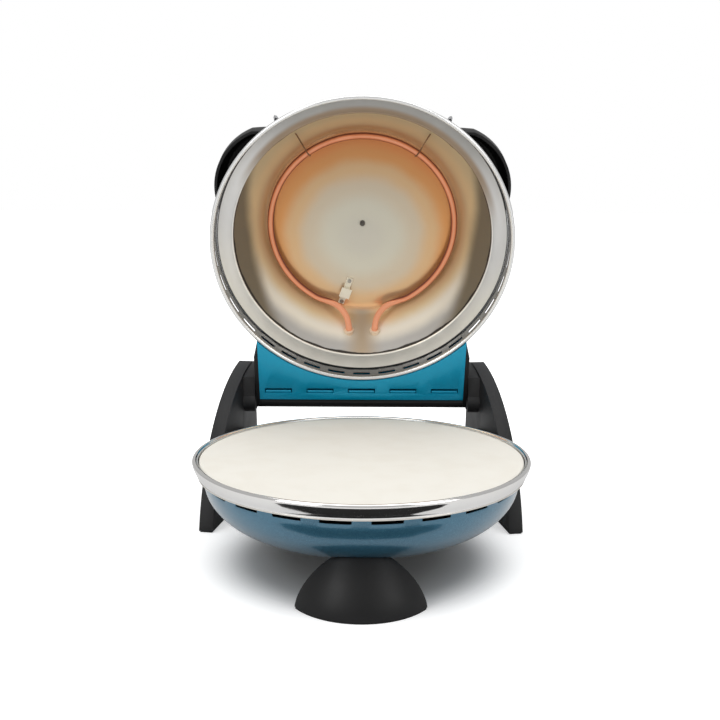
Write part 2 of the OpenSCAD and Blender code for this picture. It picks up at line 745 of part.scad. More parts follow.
// Wire hangers from the mouth of the dish down to the element
module element_hangers() {
  wire = 0.9;
  az = 31;
  hook = polar(up_ring_r, az);
  wall = polar(dish_mouth_r - 6.2, az);
  color([0.5, 0.42, 0.35]) both_sides() {
    swept_tube([[wall[0] * 1.004, wall[1] * 1.004, lid_z + dish_mouth_h + 8],
      [wall[0] * 0.98, wall[1] * 0.98, lid_z + dish_mouth_h + 8.6],
      [hook[0] * 1.012, hook[1] * 1.012, up_z - tube_r - wire - 0.1],
      [hook[0] * 0.985, hook[1] * 0.985, up_z - tube_r - wire - 0.1]], wire, 8);
  }
}

// A small cranked plate on the dish floor that holds the thermostat's bulb
module bracket_placed() {
  translate([-19.2, 84, dish_floor - 0.05]) rotate([0, 0, 19.3]) children();
}

module bulb_bracket() {
  color([0.7, 0.68, 0.62]) bracket_placed() {
    translate([-3.5, -17, -1]) cube([7, 12, 1]);
    translate([-3.5, 5, -1]) cube([7, 12, 1]);
    translate([-3.5, -6, -7]) cube([7, 1, 7]);
    translate([-3.5, 5, -7]) cube([7, 1, 7]);
    translate([-6, -6, -8]) cube([12, 12, 1]);
  }
}

module bracket_screws() {
  color([0.45, 0.42, 0.4]) bracket_placed() for (y = [-13.8, 13.8])
    translate([0, y, -2.8 - 0.02]) cylinder(r = 2.2, h = 1.8, $fn = 24);
}

module dish_centre_screw() {
  color([0.45, 0.42, 0.4]) translate([0, 0, dish_floor - 2]) {
    cylinder(r = 3, h = 1.95, $fn = 32);
    translate([0, 0, -0.8]) cylinder(r = 1.8, h = 1, $fn = 32);
  }
}

module lid_dome() {
  color([0.05, 0.32, 0.44]) difference() {
    dome_body();
    translate([0, 0, dome_z - 0.01])
      shell_solid(dome_r - dome_t, dome_depth - dome_t, dome_power, 1);
    both_sides() knob_placed() translate([0, 0, -30]) cylinder(r = shaft_r + 1.5, h = 40, $fn = 32);
    both_sides() for (az = handle_screw_az) handle_screw_placed(az)
      translate([0, 0, -12]) cylinder(r = screw_r + hole_gap, h = 20, $fn = 32);
  }
}

// Studs between the dish and the dome
module dome_studs() {
  stud_r = 55;
  gap = dome_surface(stud_r) - dome_t - dish_floor - sheet_t;
  color([0.7, 0.7, 0.7]) for (i = [0:3]) rotate([0, 0, 45 + 90 * i])
    translate([0, stud_r, dish_floor + sheet_t + 0.05]) cylinder(r = 3, h = gap - 0.9, $fn = 32);
}

// Space taken by the lid's round body, with clearance, inside the hinge box
module lid_round(grow) {
  translate([0, 0, lid_z - 5]) cylinder(r = ring_r + grow, h = lid_ring_h + 5);
  translate([0, 0, lid_z]) cylinder(r = lid_wall_r + grow, h = dome_z - lid_z + grow);
  dome_body(grow + 0.1);
}

module hinge_box() {
  wall = 1.5;
  front = 60;
  color([0.0, 0.45, 0.6]) difference() {
    translate([-box_x, front, box_z]) cube([2 * box_x, box_rear - front, box_h]);
    translate([-box_x + wall, front - 1, box_z + wall])
      cube([2 * box_x - 2 * wall, box_rear - front + 1 - wall, box_h - 2 * wall]);
    lid_round(seat);
    translate([-200, front - 1, box_z - 1]) cube([400, cheek_y - 20 - front, box_h + 2]);
    for (i = [-2:2]) translate([i * 47.6 - 15.5, hinge_y - 22, box_z - 1]) cube([31, 6, 4]);
    both_sides() for (z = box_screw_z) translate([box_x - 4, box_rear - box_screw_in, box_z + z])
      rotate([0, 90, 0]) cylinder(r = pin_screw_r + hole_gap, h = 8, $fn = 32);
  }
}

module hinge_frame() {
  color([0.12, 0.12, 0.13]) difference() {
    union() {
      both_sides() {
        translate([box_x + 0.1, cheek_y, box_z]) cube([cheek_t - 0.1, hinge_y - cheek_y, box_h]);
        translate([box_x + 0.1, hinge_y, hinge_z]) rotate([0, 90, 0])
          cylinder(r = barrel_r, h = cheek_t - 0.1, $fn = 64);
      }
      translate([-box_x - 0.2, hinge_y, hinge_z]) rotate([0, 90, 0])
        cylinder(r = barrel_r, h = 2 * box_x + 0.4, $fn = 64);
      translate([-box_x - 0.2, box_rear + 0.1, hinge_z])
        cube([2 * box_x + 0.4, 4, box_z + box_h - hinge_z]);
    }
    lid_round(seat);
    both_sides() translate([cheek_x - bush_len, hinge_y, hinge_z]) rotate([0, 90, 0])
      cylinder(r = pin_r + bush_wall + 0.05, h = bush_len + 1, $fn = 48);
    both_sides() translate([pin_in - 1, hinge_y, hinge_z]) rotate([0, 90, 0])
      cylinder(r = pin_r + 0.3, h = 5, $fn = 48);
    both_sides() for (z = box_screw_z) translate([box_x - 1, box_rear - box_screw_in, box_z + z])
      rotate([0, 90, 0]) {
        cylinder(r = pin_screw_r + hole_gap, h = 8, $fn = 32);
        translate([0, 0, 1 + cheek_t - 2]) cylinder(r = 3.4, h = 8, $fn = 32);
      }
  }
}

module hinge_bushes() {
  color([0.7, 0.6, 0.35]) both_sides() translate([cheek_x - bush_len, hinge_y, hinge_z])
    rotate([0, 90, 0]) difference() {
      cylinder(r = pin_r + bush_wall, h = bush_len, $fn = 48);
      translate([0, 0, -1]) cylinder(r = pin_r + pin_gap, h = bush_len + 2, $fn = 48);
    }
}

module hinge_box_screws() {
  color([0.5, 0.5, 0.5]) both_sides() for (z = box_screw_z)
    translate([box_x - 4, box_rear - box_screw_in, box_z + z]) rotate([0, 90, 0]) {
      cylinder(r = pin_screw_r, h = cheek_t + 2.5, $fn = 32);
      translate([0, 0, cheek_t + 2.2]) cylinder(r = 3, h = 1.5, $fn = 32);
    }
}

// Control handles

// The knob's axis: its foot is the middle of the handle's round boss, tilted outwards
module knob_placed() {
  at = polar(knob_at, knob_az);
  translate([at[0], at[1], lid_z + face_h]) rotate([0, 0, knob_az - 90])
    rotate([0, knob_tilt, 0]) children();
}

module handle_screw_placed(az) {
  r = dome_r - 1.8;
  at = polar(r, az);
  translate([at[0], at[1], dome_surface(r)]) rotate([0, 0, az - 90]) rotate([0, 72, 0]) children();
}

module lamp_placed() {
  at = polar(lamp_at, lamp_az);
  translate([at[0], at[1], dome_surface(lamp_at - lamp_r) + 0.3]) children();
}

// A handle's round outline as a solid, from its lower face up
module ear_form(r, low, crown) {
  z = lid_z;
  rotate([0, 0, ear_az - 90]) translate([ear_reach - ear_r, 0, 0]) rotate_extrude()
    polygon([[0, z + low], [r, z + low], [r, z + ear_edge], [r - crown_in * crown / crown_h,
      z + ear_edge + crown], [0, z + ear_edge + crown]]);
}

module handle_form() {
  intersection() {
    union() {
      ear_form(ear_r, ear_low, crown_h);
      intersection() {
        ear_form(ear_r, ear_low, 0.01);
        dome_body(pad_h);
      }
      intersection() {
        rotate([0, 0, ear_az - 90]) translate([ear_reach - ear_r, 0, lid_z + ear_low])
          cylinder(r = ear_r - crown_in / 2, h = 80);
        dome_body(pad_h);
      }
    }
    difference() {
      translate([-300, -ear_front, 0]) cube([600, ear_front - ear_rear, 400]);
      cylinder(r = pad_inner_r, h = 400);
    }
  }
  knob_placed() translate([0, 0, -16]) cylinder(r = boss_r, h = 16);
}

module handle(lamp = false) {
  difference() {
    handle_form();
    dome_body(seat);
    difference() {
      ear_form(ear_r - ear_wall, ear_low - 1, crown_h - crown_t);
      dome_body(ear_wall);
      translate([-300, -300, 0]) cube([600, 300 - ear_front + ear_wall, 400]);
      knob_placed() translate([0, 0, -60]) cylinder(r = boss_r, h = 60);
    }
    knob_placed() cylinder(r = boss_r, h = 30);
    knob_placed() translate([0, 0, -30]) cylinder(r = shaft_r + 0.5, h = 60, $fn = 32);
    knob_placed() translate([0, 0, -30]) cylinder(r = shaft_r + 1.5, h = 26.2, $fn = 32);
    if (lamp) lamp_placed() translate([0, 0, -6]) cylinder(r = lamp_r + 0.05, h = 30, $fn = 32);
    for (az = handle_screw_az) handle_screw_placed(az)
      translate([0, 0, -4]) cylinder(r = screw_r + 0.05, h = 11, $fn = 32);
  }
}

module handle_screws() {
  color([0.6, 0.6, 0.6]) both_sides() for (az = handle_screw_az) handle_screw_placed(az) {
    translate([0, 0, -3.5]) cylinder(r = screw_r, h = 9.5, $fn = 32);
    translate([0, 0, -4.2]) cylinder(r = 3.6, h = 2.2, $fn = 32);
  }
}

// Flat switch bodies under the dome, each with a neck through the dome into the boss
module control_body() {
  knob_placed() {
    translate([-1.5, -14, -20.5]) cube([9, 28, 10]);
    difference() {
      translate([0, 0, -11]) cylinder(r = shaft_r + 1.3, h = 7, $fn = 32);
      translate([0, 0, -12]) cylinder(r = shaft_r + 0.06, h = 9, $fn = 32);
    }
  }
}

module pilot_lamp() {
  color([0.85, 0.12, 0.08]) lamp_placed() {
    cylinder(r = lamp_r, h = 11, $fn = 32);
    translate([0, 0, 11]) sphere(r = lamp_r, $fn = 32);
  }
}

module control_shaft() {
  knob_placed() translate([0, 0, -9.3]) cylinder(r = shaft_r, h = 9.3 + knob_h - 1.1, $fn = 32);
}

// Skirt and body of a knob
module knob() {
  knob_placed() difference() {
    union() {
      translate([0, 0, air]) cylinder(r = knob_r, h = knob_h - 2 - air, $fn = 96);
      translate([0, 0, knob_h - 2]) cylinder(r = knob_r - 1.2, h = 2, $fn = 96);
    }
    translate([0, 0, -1]) cylinder(r = shaft_r + 0.05, h = knob_h, $fn = 32);
  }
}

module knob_grip() {
  tip = 4;
  knob_placed() rotate([0, 0, grip_turn]) translate([0, 0, knob_h + 0.02])
    linear_extrude(grip_h) polygon([[-knob_r + 2, -3], [-4, -4.5], [4, -4.5],
      [knob_r + tip - 2, -2], [knob_r + tip, 0], [knob_r + tip - 2, 2], [4, 4.5], [-4, 4.5],
      [-knob_r + 2, 3]]);
}

placed() {
  lower_bowl();
  base_trim_ring();
  base_reflector_pan();
  pan_screws();
  lower_element();
  lower_element_bushes();
  lower_element_clips();
  terminal_block();
  front_foot();
  front_foot_screws();
  front_foot_pad();
  color([0.14, 0.14, 0.15]) mirror([1, 0, 0]) leg();  // left_leg
  color([0.14, 0.14, 0.15]) leg();  // right_leg
  leg_pads();
  rear_crossbar();
  crossbar_screws();
  leg_screws();
  hinge_pins();
  friction_washers();
  cord_gland();
  baking_stone();
  opened() {
    lid_dome();
    lid_trim_ring();
    lid_rim_pan();
    reflector_dish();
    upper_element();
    upper_element_bushes();
    element_hangers();
    bulb_bracket();
    bracket_screws();
    dish_centre_screw();
    dome_studs();
    hinge_box();
    hinge_frame();
    hinge_bushes();
    hinge_box_screws();
    color([0.13, 0.13, 0.14]) mirror([1, 0, 0]) handle();  // left_handle
    color([0.13, 0.13, 0.14]) handle(true);  // right_handle
    handle_screws();
    color([0.8, 0.78, 0.7]) mirror([1, 0, 0]) control_body();  // thermostat_body
    color([0.8, 0.78, 0.7]) control_body();  // timer_body
    pilot_lamp();
    color([0.7, 0.7, 0.7]) mirror([1, 0, 0]) control_shaft();  // thermostat_shaft
    color([0.1, 0.1, 0.1]) mirror([1, 0, 0]) knob();  // thermostat_knob
    color([0.6, 0.6, 0.6]) mirror([1, 0, 0]) knob_grip();  // thermostat_grip
    color([0.7, 0.7, 0.7]) control_shaft();  // timer_shaft
    color([0.1, 0.1, 0.1]) knob();  // timer_knob
    color([0.6, 0.6, 0.6]) knob_grip();  // timer_grip
  }
}
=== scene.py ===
import json
import math
from functools import partial

import bmesh
import bpy
from mathutils import Matrix, Vector


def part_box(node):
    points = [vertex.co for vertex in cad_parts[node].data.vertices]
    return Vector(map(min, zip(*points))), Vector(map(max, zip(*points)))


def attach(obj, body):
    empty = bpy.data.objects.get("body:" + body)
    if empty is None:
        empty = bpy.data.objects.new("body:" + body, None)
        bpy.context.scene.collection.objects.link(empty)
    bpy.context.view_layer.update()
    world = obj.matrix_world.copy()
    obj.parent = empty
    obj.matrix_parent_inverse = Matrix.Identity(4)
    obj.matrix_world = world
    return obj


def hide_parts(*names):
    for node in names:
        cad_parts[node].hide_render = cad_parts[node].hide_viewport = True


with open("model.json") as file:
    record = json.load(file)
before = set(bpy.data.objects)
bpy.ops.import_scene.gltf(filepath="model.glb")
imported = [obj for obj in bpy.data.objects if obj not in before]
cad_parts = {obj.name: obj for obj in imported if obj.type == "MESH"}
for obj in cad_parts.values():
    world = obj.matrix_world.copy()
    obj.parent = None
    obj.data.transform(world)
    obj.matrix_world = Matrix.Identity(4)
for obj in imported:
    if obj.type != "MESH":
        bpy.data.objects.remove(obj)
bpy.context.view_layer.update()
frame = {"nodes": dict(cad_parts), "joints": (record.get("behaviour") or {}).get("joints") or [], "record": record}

# Baking stone
# A pressed disc of pale fired clay that lies loose in the base. Its edge is eased and
# its face is ground flat, with the fine pits and the faint bloom of unglazed clay.
MM = 0.001
stone_low, stone_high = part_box("baking_stone")
stone_y = (stone_low.y + stone_high.y) / 2
stone_radius = (stone_high.x - stone_low.x) / 2 / MM
stone_top = stone_high.z / MM
stone_under = stone_low.z / MM
stone_taper = 0.4
stone_edge = 3
pale_clay = (0.80, 0.775, 0.705)
bloomed_clay = (0.82, 0.80, 0.735)
base_place = Matrix.Translation((0, stone_y, 0)) @ Matrix.Diagonal((MM, MM, MM, 1))


def eased(corners, steps=5):
    """The corners (r, z, easing) of a section, each turned into a small arc."""
    points = []
    for i, (r, z, ease) in enumerate(corners):
        if ease == 0 or i in (0, len(corners) - 1):
            points.append((r, z))
            continue
        here = Vector((r, z))
        back = Vector(corners[i - 1][:2]) - here
        on = Vector(corners[i + 1][:2]) - here
        reach = min(ease, back.length * 0.49, on.length * 0.49)
        start, end = here + back.normalized() * reach, here + on.normalized() * reach
        for k in range(steps + 1):
            t = k / steps
            points.append(tuple(start * (1 - t) ** 2 + here * 2 * t * (1 - t) + end * t ** 2))
    return points


def turned(section, around=192, ring=False):
    """Vertices and faces of a section (r, z) turned about the axis; a ring's section is closed."""
    verts, faces, rows = [], [], []
    for r, z in section:
        if r < 1e-6:
            rows.append([len(verts)] * around)
            verts.append((0, 0, z))
        else:
            rows.append(list(range(len(verts), len(verts) + around)))
            verts += [(r * math.sin(2 * math.pi * k / around), -r * math.cos(2 * math.pi * k / around), z)
                      for k in range(around)]
    pairs = list(zip(rows, rows[1:] + rows[:1])) if ring else list(zip(rows, rows[1:]))
    for low, high in pairs:
        for k in range(around):
            n = (k + 1) % around
            corner = []
            for v in (low[k], low[n], high[n], high[k]):
                if v not in corner:
                    corner.append(v)
            if len(corner) > 2:
                faces.append(corner)
    return verts, faces


def crease(mesh, degrees):
    """Smooth faces, with the edges that turn by more than so many degrees left sharp."""
    work = bmesh.new()
    work.from_mesh(mesh)
    for face in work.faces:
        face.smooth = True
    for edge in work.edges:
        edge.smooth = len(edge.link_faces) == 2 and edge.calc_face_angle(0) < math.radians(degrees)
    work.to_mesh(mesh)
    work.free()


def placed(name, data):
    """A new object in the scene, at the origin."""
    item = bpy.data.objects.new(name, data)
    bpy.context.scene.collection.objects.link(item)
    return item


def mounted(piece, body, nodes=()):
    """A finished piece rides on its body and stands for the frame's nodes."""
    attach(piece, body)
    if nodes:
        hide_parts(*nodes)
    return piece


def made(name, shape, place, finish, body, nodes=(), sharp=40):
    """A piece from (vertices, faces) in millimetres, put in its place, finished and mounted."""
    mesh = bpy.data.meshes.new(name)
    mesh.from_pydata(shape[0], [], shape[1])
    work = bmesh.new()
    work.from_mesh(mesh)
    bmesh.ops.remove_doubles(work, verts=work.verts, dist=1e-4)
    bmesh.ops.recalc_face_normals(work, faces=work.faces)
    work.to_mesh(mesh)
    work.free()
    mesh.transform(place)
    crease(mesh, sharp)
    mesh.materials.append(finish)
    return mounted(placed(name, mesh), body, nodes)


def feed(tree, socket, value):
    """Links a socket to the one that feeds it, or gives it a plain value."""
    if isinstance(value, bpy.types.NodeSocket):
        tree.links.new(value, socket)
    else:
        socket.default_value = value


def step(tree, kind, settings=None, feeds=None):
    """One node of a tree, with its settings and the values or sockets that feed it."""
    node = tree.nodes.new(kind)
    for label, value in (settings or {}).items():
        setattr(node, label, value)
    for socket, value in (feeds or {}).items():
        feed(tree, node.inputs[socket], value)
    return node


def reckon(tree, operation, first, second=0.0, third=0.0):
    """The result of one sum inside a tree."""
    return step(tree, "ShaderNodeMath", {"operation": operation}, {0: first, 1: second, 2: third}).outputs[0]


class Finish:
    """A material under construction: nodes by short calls, wired by socket."""

    def __init__(self, name, colour=(0.5, 0.5, 0.5), **settings):
        self.material = bpy.data.materials.new(name)
        self.material.use_nodes = True
        self.tree = self.material.node_tree
        self.shader = self.tree.nodes["Principled BSDF"]
        self.shader.inputs["Base Color"].default_value = (*colour, 1)
        for label, value in settings.items():
            self.shader.inputs[label.replace("_", " ")].default_value = value
        self.coordinates = self.tree.nodes.new("ShaderNodeTexCoord").outputs["Object"]
        self.plus = partial(reckon, self.tree, "ADD")
        self.minus = partial(reckon, self.tree, "SUBTRACT")
        self.times = partial(reckon, self.tree, "MULTIPLY")
        self.over = partial(reckon, self.tree, "DIVIDE")

    def node(self, kind, settings=None, **inputs):
        feeds = {label.replace("_", " "): value for label, value in inputs.items()}
        return step(self.tree, kind, settings, feeds)

    def effect(self, group, **inputs):
        return self.node("ShaderNodeGroup", {"node_tree": group}, **inputs)

    def ramp(self, factor, *stops):
        band = step(self.tree, "ShaderNodeValToRGB", None, {0: factor})
        band.color_ramp.interpolation = "EASE"
        for k, (at, colour) in enumerate(stops):
            stop = band.color_ramp.elements[k] if k < 2 else band.color_ramp.elements.new(at)
            stop.position = at
            stop.color = (*colour, 1)
        return band.outputs[0]

    def to(self, label, value):
        feed(self.tree, self.shader.inputs[label], value)

    def roughened(self, value, low, high, least, most):
        spread = self.node("ShaderNodeMapRange", Value=value, From_Min=low, From_Max=high,
                           To_Min=least, To_Max=most)
        self.to("Roughness", spread.outputs[0])

    def raised(self, height, strength, distance=0.0002):
        bump = self.node("ShaderNodeBump", Strength=strength, Distance=distance, Height=height)
        self.to("Normal", bump.outputs["Normal"])


def shared_effect(name, inputs, outputs):
    """An empty shader node group with named inputs and outputs."""
    group = bpy.data.node_groups.new(name, "ShaderNodeTree")
    for label, kind, value in inputs:
        socket = group.interface.new_socket(label, in_out="INPUT", socket_type=kind)
        if value is not None:
            socket.default_value = value
    for label, kind in outputs:
        group.interface.new_socket(label, in_out="OUTPUT", socket_type=kind)
    return group, group.nodes.new("NodeGroupInput").outputs, group.nodes.new("NodeGroupOutput").inputs


FLOAT, COUNT = "NodeSocketFloat", "NodeSocketInt"
VECTOR, COLOUR = "NodeSocketVector", "NodeSocketColor"

# Fine grain: the even small roughness of moulded plastic, fired clay or cast metal
fine_grain, grain_in, grain_out = shared_effect(
    "fine_grain", [("Vector", VECTOR, None), ("Scale", FLOAT, 2000.0), ("Detail", FLOAT, 3.0)],
    [("Height", FLOAT), ("Mottle", FLOAT)])
grain_noise = step(fine_grain, "ShaderNodeTexNoise", None, {
    "Vector": grain_in["Vector"], "Scale": grain_in["Scale"], "Detail": grain_in["Detail"]})
slow_noise = step(fine_grain, "ShaderNodeTexNoise", None, {
    "Vector": grain_in["Vector"], "Scale": 35, "Detail": 4})
feed(fine_grain, grain_out["Height"], grain_noise.outputs["Fac"])
feed(fine_grain, grain_out["Mottle"], slow_noise.outputs["Fac"])

clay = Finish("fired_clay", Roughness=0.72, IOR=1.45)
clay_grain = clay.effect(fine_grain, Vector=clay.coordinates, Scale=900.0, Detail=6.0)
clay.to("Base Color", clay.ramp(clay_grain.outputs["Mottle"], (0.30, pale_clay), (0.62, bloomed_clay)))
clay.raised(clay_grain.outputs["Height"], 0.35, 0.0003)

made("stone_disc", turned(eased([
    (0, stone_under, 0), (stone_radius - stone_taper, stone_under, 1.5), (stone_radius, stone_top, 1.8),
    (stone_radius - stone_edge, stone_top, 0.5), (0, stone_top, 0)])), base_place, clay.material, "stone",
    ["baking_stone"], 60)

# Bowl of the base
# A deep-drawn steel bowl in metallic blue stoving enamel. A row of long vents is pierced
# just under its rim, and its sheet is about a millimetre thick.
bowl_radius = 151.0
bowl_depth = 66.0
bowl_power = 2.4
bowl_vents = 22
vent_steps = 16
vent_open_steps = 10
vent_drop = 5
vent_edge = 1
band_height = 9.0
bowl_sheet = 1.0
bowl_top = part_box("lower_bowl")[1].z / MM


def grown_tree(name, inputs):
    """An empty Geometry Nodes tree with named inputs, the last of them its finish."""
    tree = bpy.data.node_groups.new(name, "GeometryNodeTree")
    tree.is_modifier = True
    for label, kind, value in inputs + [("Finish", "NodeSocketMaterial", None)]:
        socket = tree.interface.new_socket(label, in_out="INPUT", socket_type=kind)
        if value is not None:
            socket.default_value = value
    tree.interface.new_socket("Geometry", in_out="OUTPUT", socket_type="NodeSocketGeometry")
    return tree, tree.nodes.new("NodeGroupInput").outputs


def ended(tree, sizes, geometry):
    """The end of a tree: instances are made real, and every face gets the finish."""
    real = step(tree, "GeometryNodeRealizeInstances", None, {"Geometry": geometry})
    coated = step(tree, "GeometryNodeSetMaterial", None, {
        "Geometry": real.outputs[0], "Material": sizes["Finish"]})
    feed(tree, tree.nodes.new("NodeGroupOutput").inputs["Geometry"], coated.outputs[0])


def unit_grid(tree, columns, rows):
    """A grid, and each point's share of the way across and down it, from 0 to 1."""
    grid = step(tree, "GeometryNodeMeshGrid", None, {
        "Size X": 1.0, "Size Y": 1.0, "Vertices X": reckon(tree, "ADD", columns, 1.0), "Vertices Y": rows})
    flat = step(tree, "ShaderNodeSeparateXYZ", None, {
        0: step(tree, "GeometryNodeInputPosition").outputs[0]}).outputs
    return grid.outputs["Mesh"], reckon(tree, "ADD", flat["X"], 0.5), reckon(tree, "ADD", flat["Y"], 0.5)


def wrapped(tree, geometry, radius, turn, height):
    """The points of a grid set round the axis, with its two ends merged."""
    place = step(tree, "ShaderNodeCombineXYZ", None, {
        "X": reckon(tree, "MULTIPLY", radius, reckon(tree, "SINE", turn)),
        "Y": reckon(tree, "MULTIPLY", radius, reckon(tree, "MULTIPLY", reckon(tree, "COSINE", turn), -1.0)),
        "Z": height})
    moved = step(tree, "GeometryNodeSetPosition", None, {"Geometry": geometry, "Position": place.outputs[0]})
    return step(tree, "GeometryNodeMergeByDistance", None, {
        "Geometry": moved.outputs[0], "Distance": 0.001}).outputs[0]


def as_built(piece):
    """The plain mesh that an object's modifiers give."""
    bpy.context.view_layer.update()
    depsgraph = bpy.context.evaluated_depsgraph_get()
    return bpy.data.meshes.new_from_object(piece.evaluated_get(depsgraph))


def grown(name, tree, values, start=None):
    """The plain mesh that a tree gives, from nothing or from a curve; its last material is the finish."""
    holder = start or placed(name + "_start", bpy.data.meshes.new(name + "_start"))
    modifier = holder.modifiers.new("grown", "NODES")
    modifier.node_group = tree
    for item in tree.interface.items_tree:
        if item.item_type == "SOCKET" and item.in_out == "INPUT" and item.name in values:
            modifier[item.identifier] = values[item.name]
    mesh = as_built(holder)
    bpy.data.objects.remove(holder)
    return mesh


def as_shape(mesh):
    """A mesh's vertices and faces, for made()."""
    return [tuple(v.co) for v in mesh.vertices], [tuple(p.vertices) for p in mesh.polygons]


def joined(*shapes):
    """Several shapes as one; vertices that meet are merged later by made()."""
    verts, faces = [], []
    for v, f in shapes:
        faces += [tuple(i + len(verts) for i in face) for face in f]
        verts += v
    return verts, faces


def sheet_metal(piece, thickness, offset, ease):
    """Gives an open sheet its thickness and rounds its cut edges, then keeps the result as plain mesh."""
    solid = piece.modifiers.new("thickness", "SOLIDIFY")
    solid.thickness = thickness * MM
    solid.offset = offset
    solid.use_even_offset = True
    bevel = piece.modifiers.new("edges", "BEVEL")
    bevel.width = ease * MM
    bevel.segments = 2
    bevel.limit_method = "ANGLE"
    bevel.angle_limit = math.radians(50)
    bevel.harden_normals = False
    mesh = as_built(piece)
    piece.modifiers.clear()
    piece.data = mesh
    crease(mesh, 45)


# A band of sheet round the axis, with a row of see-through slots pierced in it
slotted_band, band_size = grown_tree("slotted_band", [
    ("Lower Radius", FLOAT, 150.0), ("Upper Radius", FLOAT, 150.0), ("Bottom", FLOAT, 0.0),
    ("Slot Bottom", FLOAT, 3.0), ("Slot Top", FLOAT, 7.0), ("Top", FLOAT, 10.0),
    ("Slots", COUNT, 20), ("Steps per Slot", COUNT, 10), ("Open Steps", COUNT, 6), ("First Step", COUNT, 0)])
band_sum = partial(reckon, slotted_band)
band_steps = band_sum("MULTIPLY", band_size["Slots"], band_size["Steps per Slot"])
band_grid, band_across, band_down = unit_grid(slotted_band, band_steps, 4)
band_row = band_sum("MULTIPLY", band_down, 3.0)
band_column = band_sum("FLOOR", band_sum("MULTIPLY", band_across, band_steps))
step_in_slot = band_sum("FLOORED_MODULO", band_sum("SUBTRACT", band_column, band_size["First Step"]),
                        band_size["Steps per Slot"])
open_step = band_sum("LESS_THAN", step_in_slot, band_size["Open Steps"])
middle_row = band_sum("COMPARE", band_row, 1.5, 0.4)
pierced = step(slotted_band, "GeometryNodeDeleteGeometry", {"domain": "FACE"}, {
    "Geometry": band_grid, "Selection": band_sum("MULTIPLY", open_step, middle_row)})
band_level = step(slotted_band, "GeometryNodeIndexSwitch", {"data_type": "FLOAT"}, {
    "Index": step(slotted_band, "FunctionNodeFloatToInt", None, {0: band_row}).outputs[0]})
while len(band_level.index_switch_items) < 4:
    band_level.index_switch_items.new()
for k, label in enumerate(("Bottom", "Slot Bottom", "Slot Top", "Top")):
    feed(slotted_band, band_level.inputs[k + 1], band_size[label])
band_radius = step(slotted_band, "ShaderNodeMapRange", None, {
    "Value": band_level.outputs[0], "From Min": band_size["Bottom"], "From Max": band_size["Top"],
    "To Min": band_size["Lower Radius"], "To Max": band_size["Upper Radius"]}).outputs[0]
ended(slotted_band, band_size, wrapped(
    slotted_band, pierced.outputs[0], band_radius, band_sum("MULTIPLY", band_across, 2 * math.pi),
    band_level.outputs[0]))

# A pressed shell of revolution whose section is a superellipse, from a collar to its pole
pressed_shell, shell_size = grown_tree("pressed_shell", [
    ("Radius", FLOAT, 150.0), ("Depth", FLOAT, 70.0), ("Power", FLOAT, 2.5), ("Collar", FLOAT, 0.0),
    ("Around", COUNT, 192), ("Rings", COUNT, 40), ("Rim", FLOAT, 0.0)])
shell_sum = partial(reckon, pressed_shell)
shell_grid, shell_across, shell_down = unit_grid(pressed_shell, shell_size["Around"], shell_size["Rings"])
half_power = shell_sum("DIVIDE", shell_size["Power"], 2.0)
shape_power = shell_sum("DIVIDE", 2.0, shell_size["Power"])
collar_share = shell_sum("DIVIDE", shell_size["Collar"], shell_sum("ABSOLUTE", shell_size["Depth"]))
first_angle = shell_sum("ARCSINE", shell_sum("POWER", collar_share, half_power))
angle_down = step(pressed_shell, "ShaderNodeMapRange", None, {
    "Value": shell_down, "To Min": first_angle, "To Max": math.pi / 2}).outputs[0]
shell_width = shell_sum("MAXIMUM", shell_sum("COSINE", angle_down), 0.0)
shell_radius = shell_sum("MULTIPLY", shell_size["Radius"], shell_sum("POWER", shell_width, shape_power))
shell_height = shell_sum("ADD", shell_size["Rim"], shell_sum(
    "MULTIPLY", shell_size["Depth"], shell_sum("POWER", shell_sum("SINE", angle_down), shape_power)))
ended(pressed_shell, shell_size, wrapped(
    pressed_shell, shell_grid, shell_radius, shell_sum("MULTIPLY", shell_across, 2 * math.pi), shell_height))

# Metallic paint: fine flakes that catch the light, and a slow unevenness of the coat
paint_flake, flake_in, flake_out = shared_effect(
    "paint_flake", [("Vector", VECTOR, None), ("Flake Scale", FLOAT, 5000.0),
                    ("Base", COLOUR, (0, 0, 0, 1)), ("Flake", COLOUR, (1, 1, 1, 1))],
    [("Color", COLOUR), ("Orange Peel", FLOAT)])
flake_cells = step(paint_flake, "ShaderNodeTexVoronoi", None, {
    "Vector": flake_in["Vector"], "Scale": flake_in["Flake Scale"]})
flake_part = step(paint_flake, "ShaderNodeSeparateColor", None, {0: flake_cells.outputs["Color"]})
flake_pick = step(paint_flake, "ShaderNodeMapRange", None, {
    "Value": flake_part.outputs[0], "From Min": 0.62, "From Max": 1.0})
flake_mix = step(paint_flake, "ShaderNodeMix", {"data_type": "RGBA"}, {
    0: flake_pick.outputs[0], 6: flake_in["Base"], 7: flake_in["Flake"]})
peel = step(paint_flake, "ShaderNodeTexNoise", None, {
    "Vector": flake_in["Vector"], "Scale": 260, "Detail": 1})
feed(paint_flake, flake_out["Color"], flake_mix.outputs[2])
feed(paint_flake, flake_out["Orange Peel"], peel.outputs["Fac"])


def enamel(name, base, flake, coat_weight, metallic):
    """Metallic stoving enamel, with more or less of a clear coat."""
    paint = Finish(name, Roughness=0.29, Coat_Weight=coat_weight, Coat_Roughness=0.12, Metallic=metallic)
    coat = paint.effect(paint_flake, Vector=paint.coordinates, Flake_Scale=4200.0,
                        Base=(*base, 1), Flake=(*flake, 1))
    paint.to("Base Color", coat.outputs["Color"])
    paint.raised(coat.outputs["Orange Peel"], 0.03, 0.0004)
    return paint.material


def bowl_width(below):
    """The bowl's radius so far below its rim."""
    return bowl_radius * (1 - (below / bowl_depth) ** bowl_power) ** (1 / bowl_power)


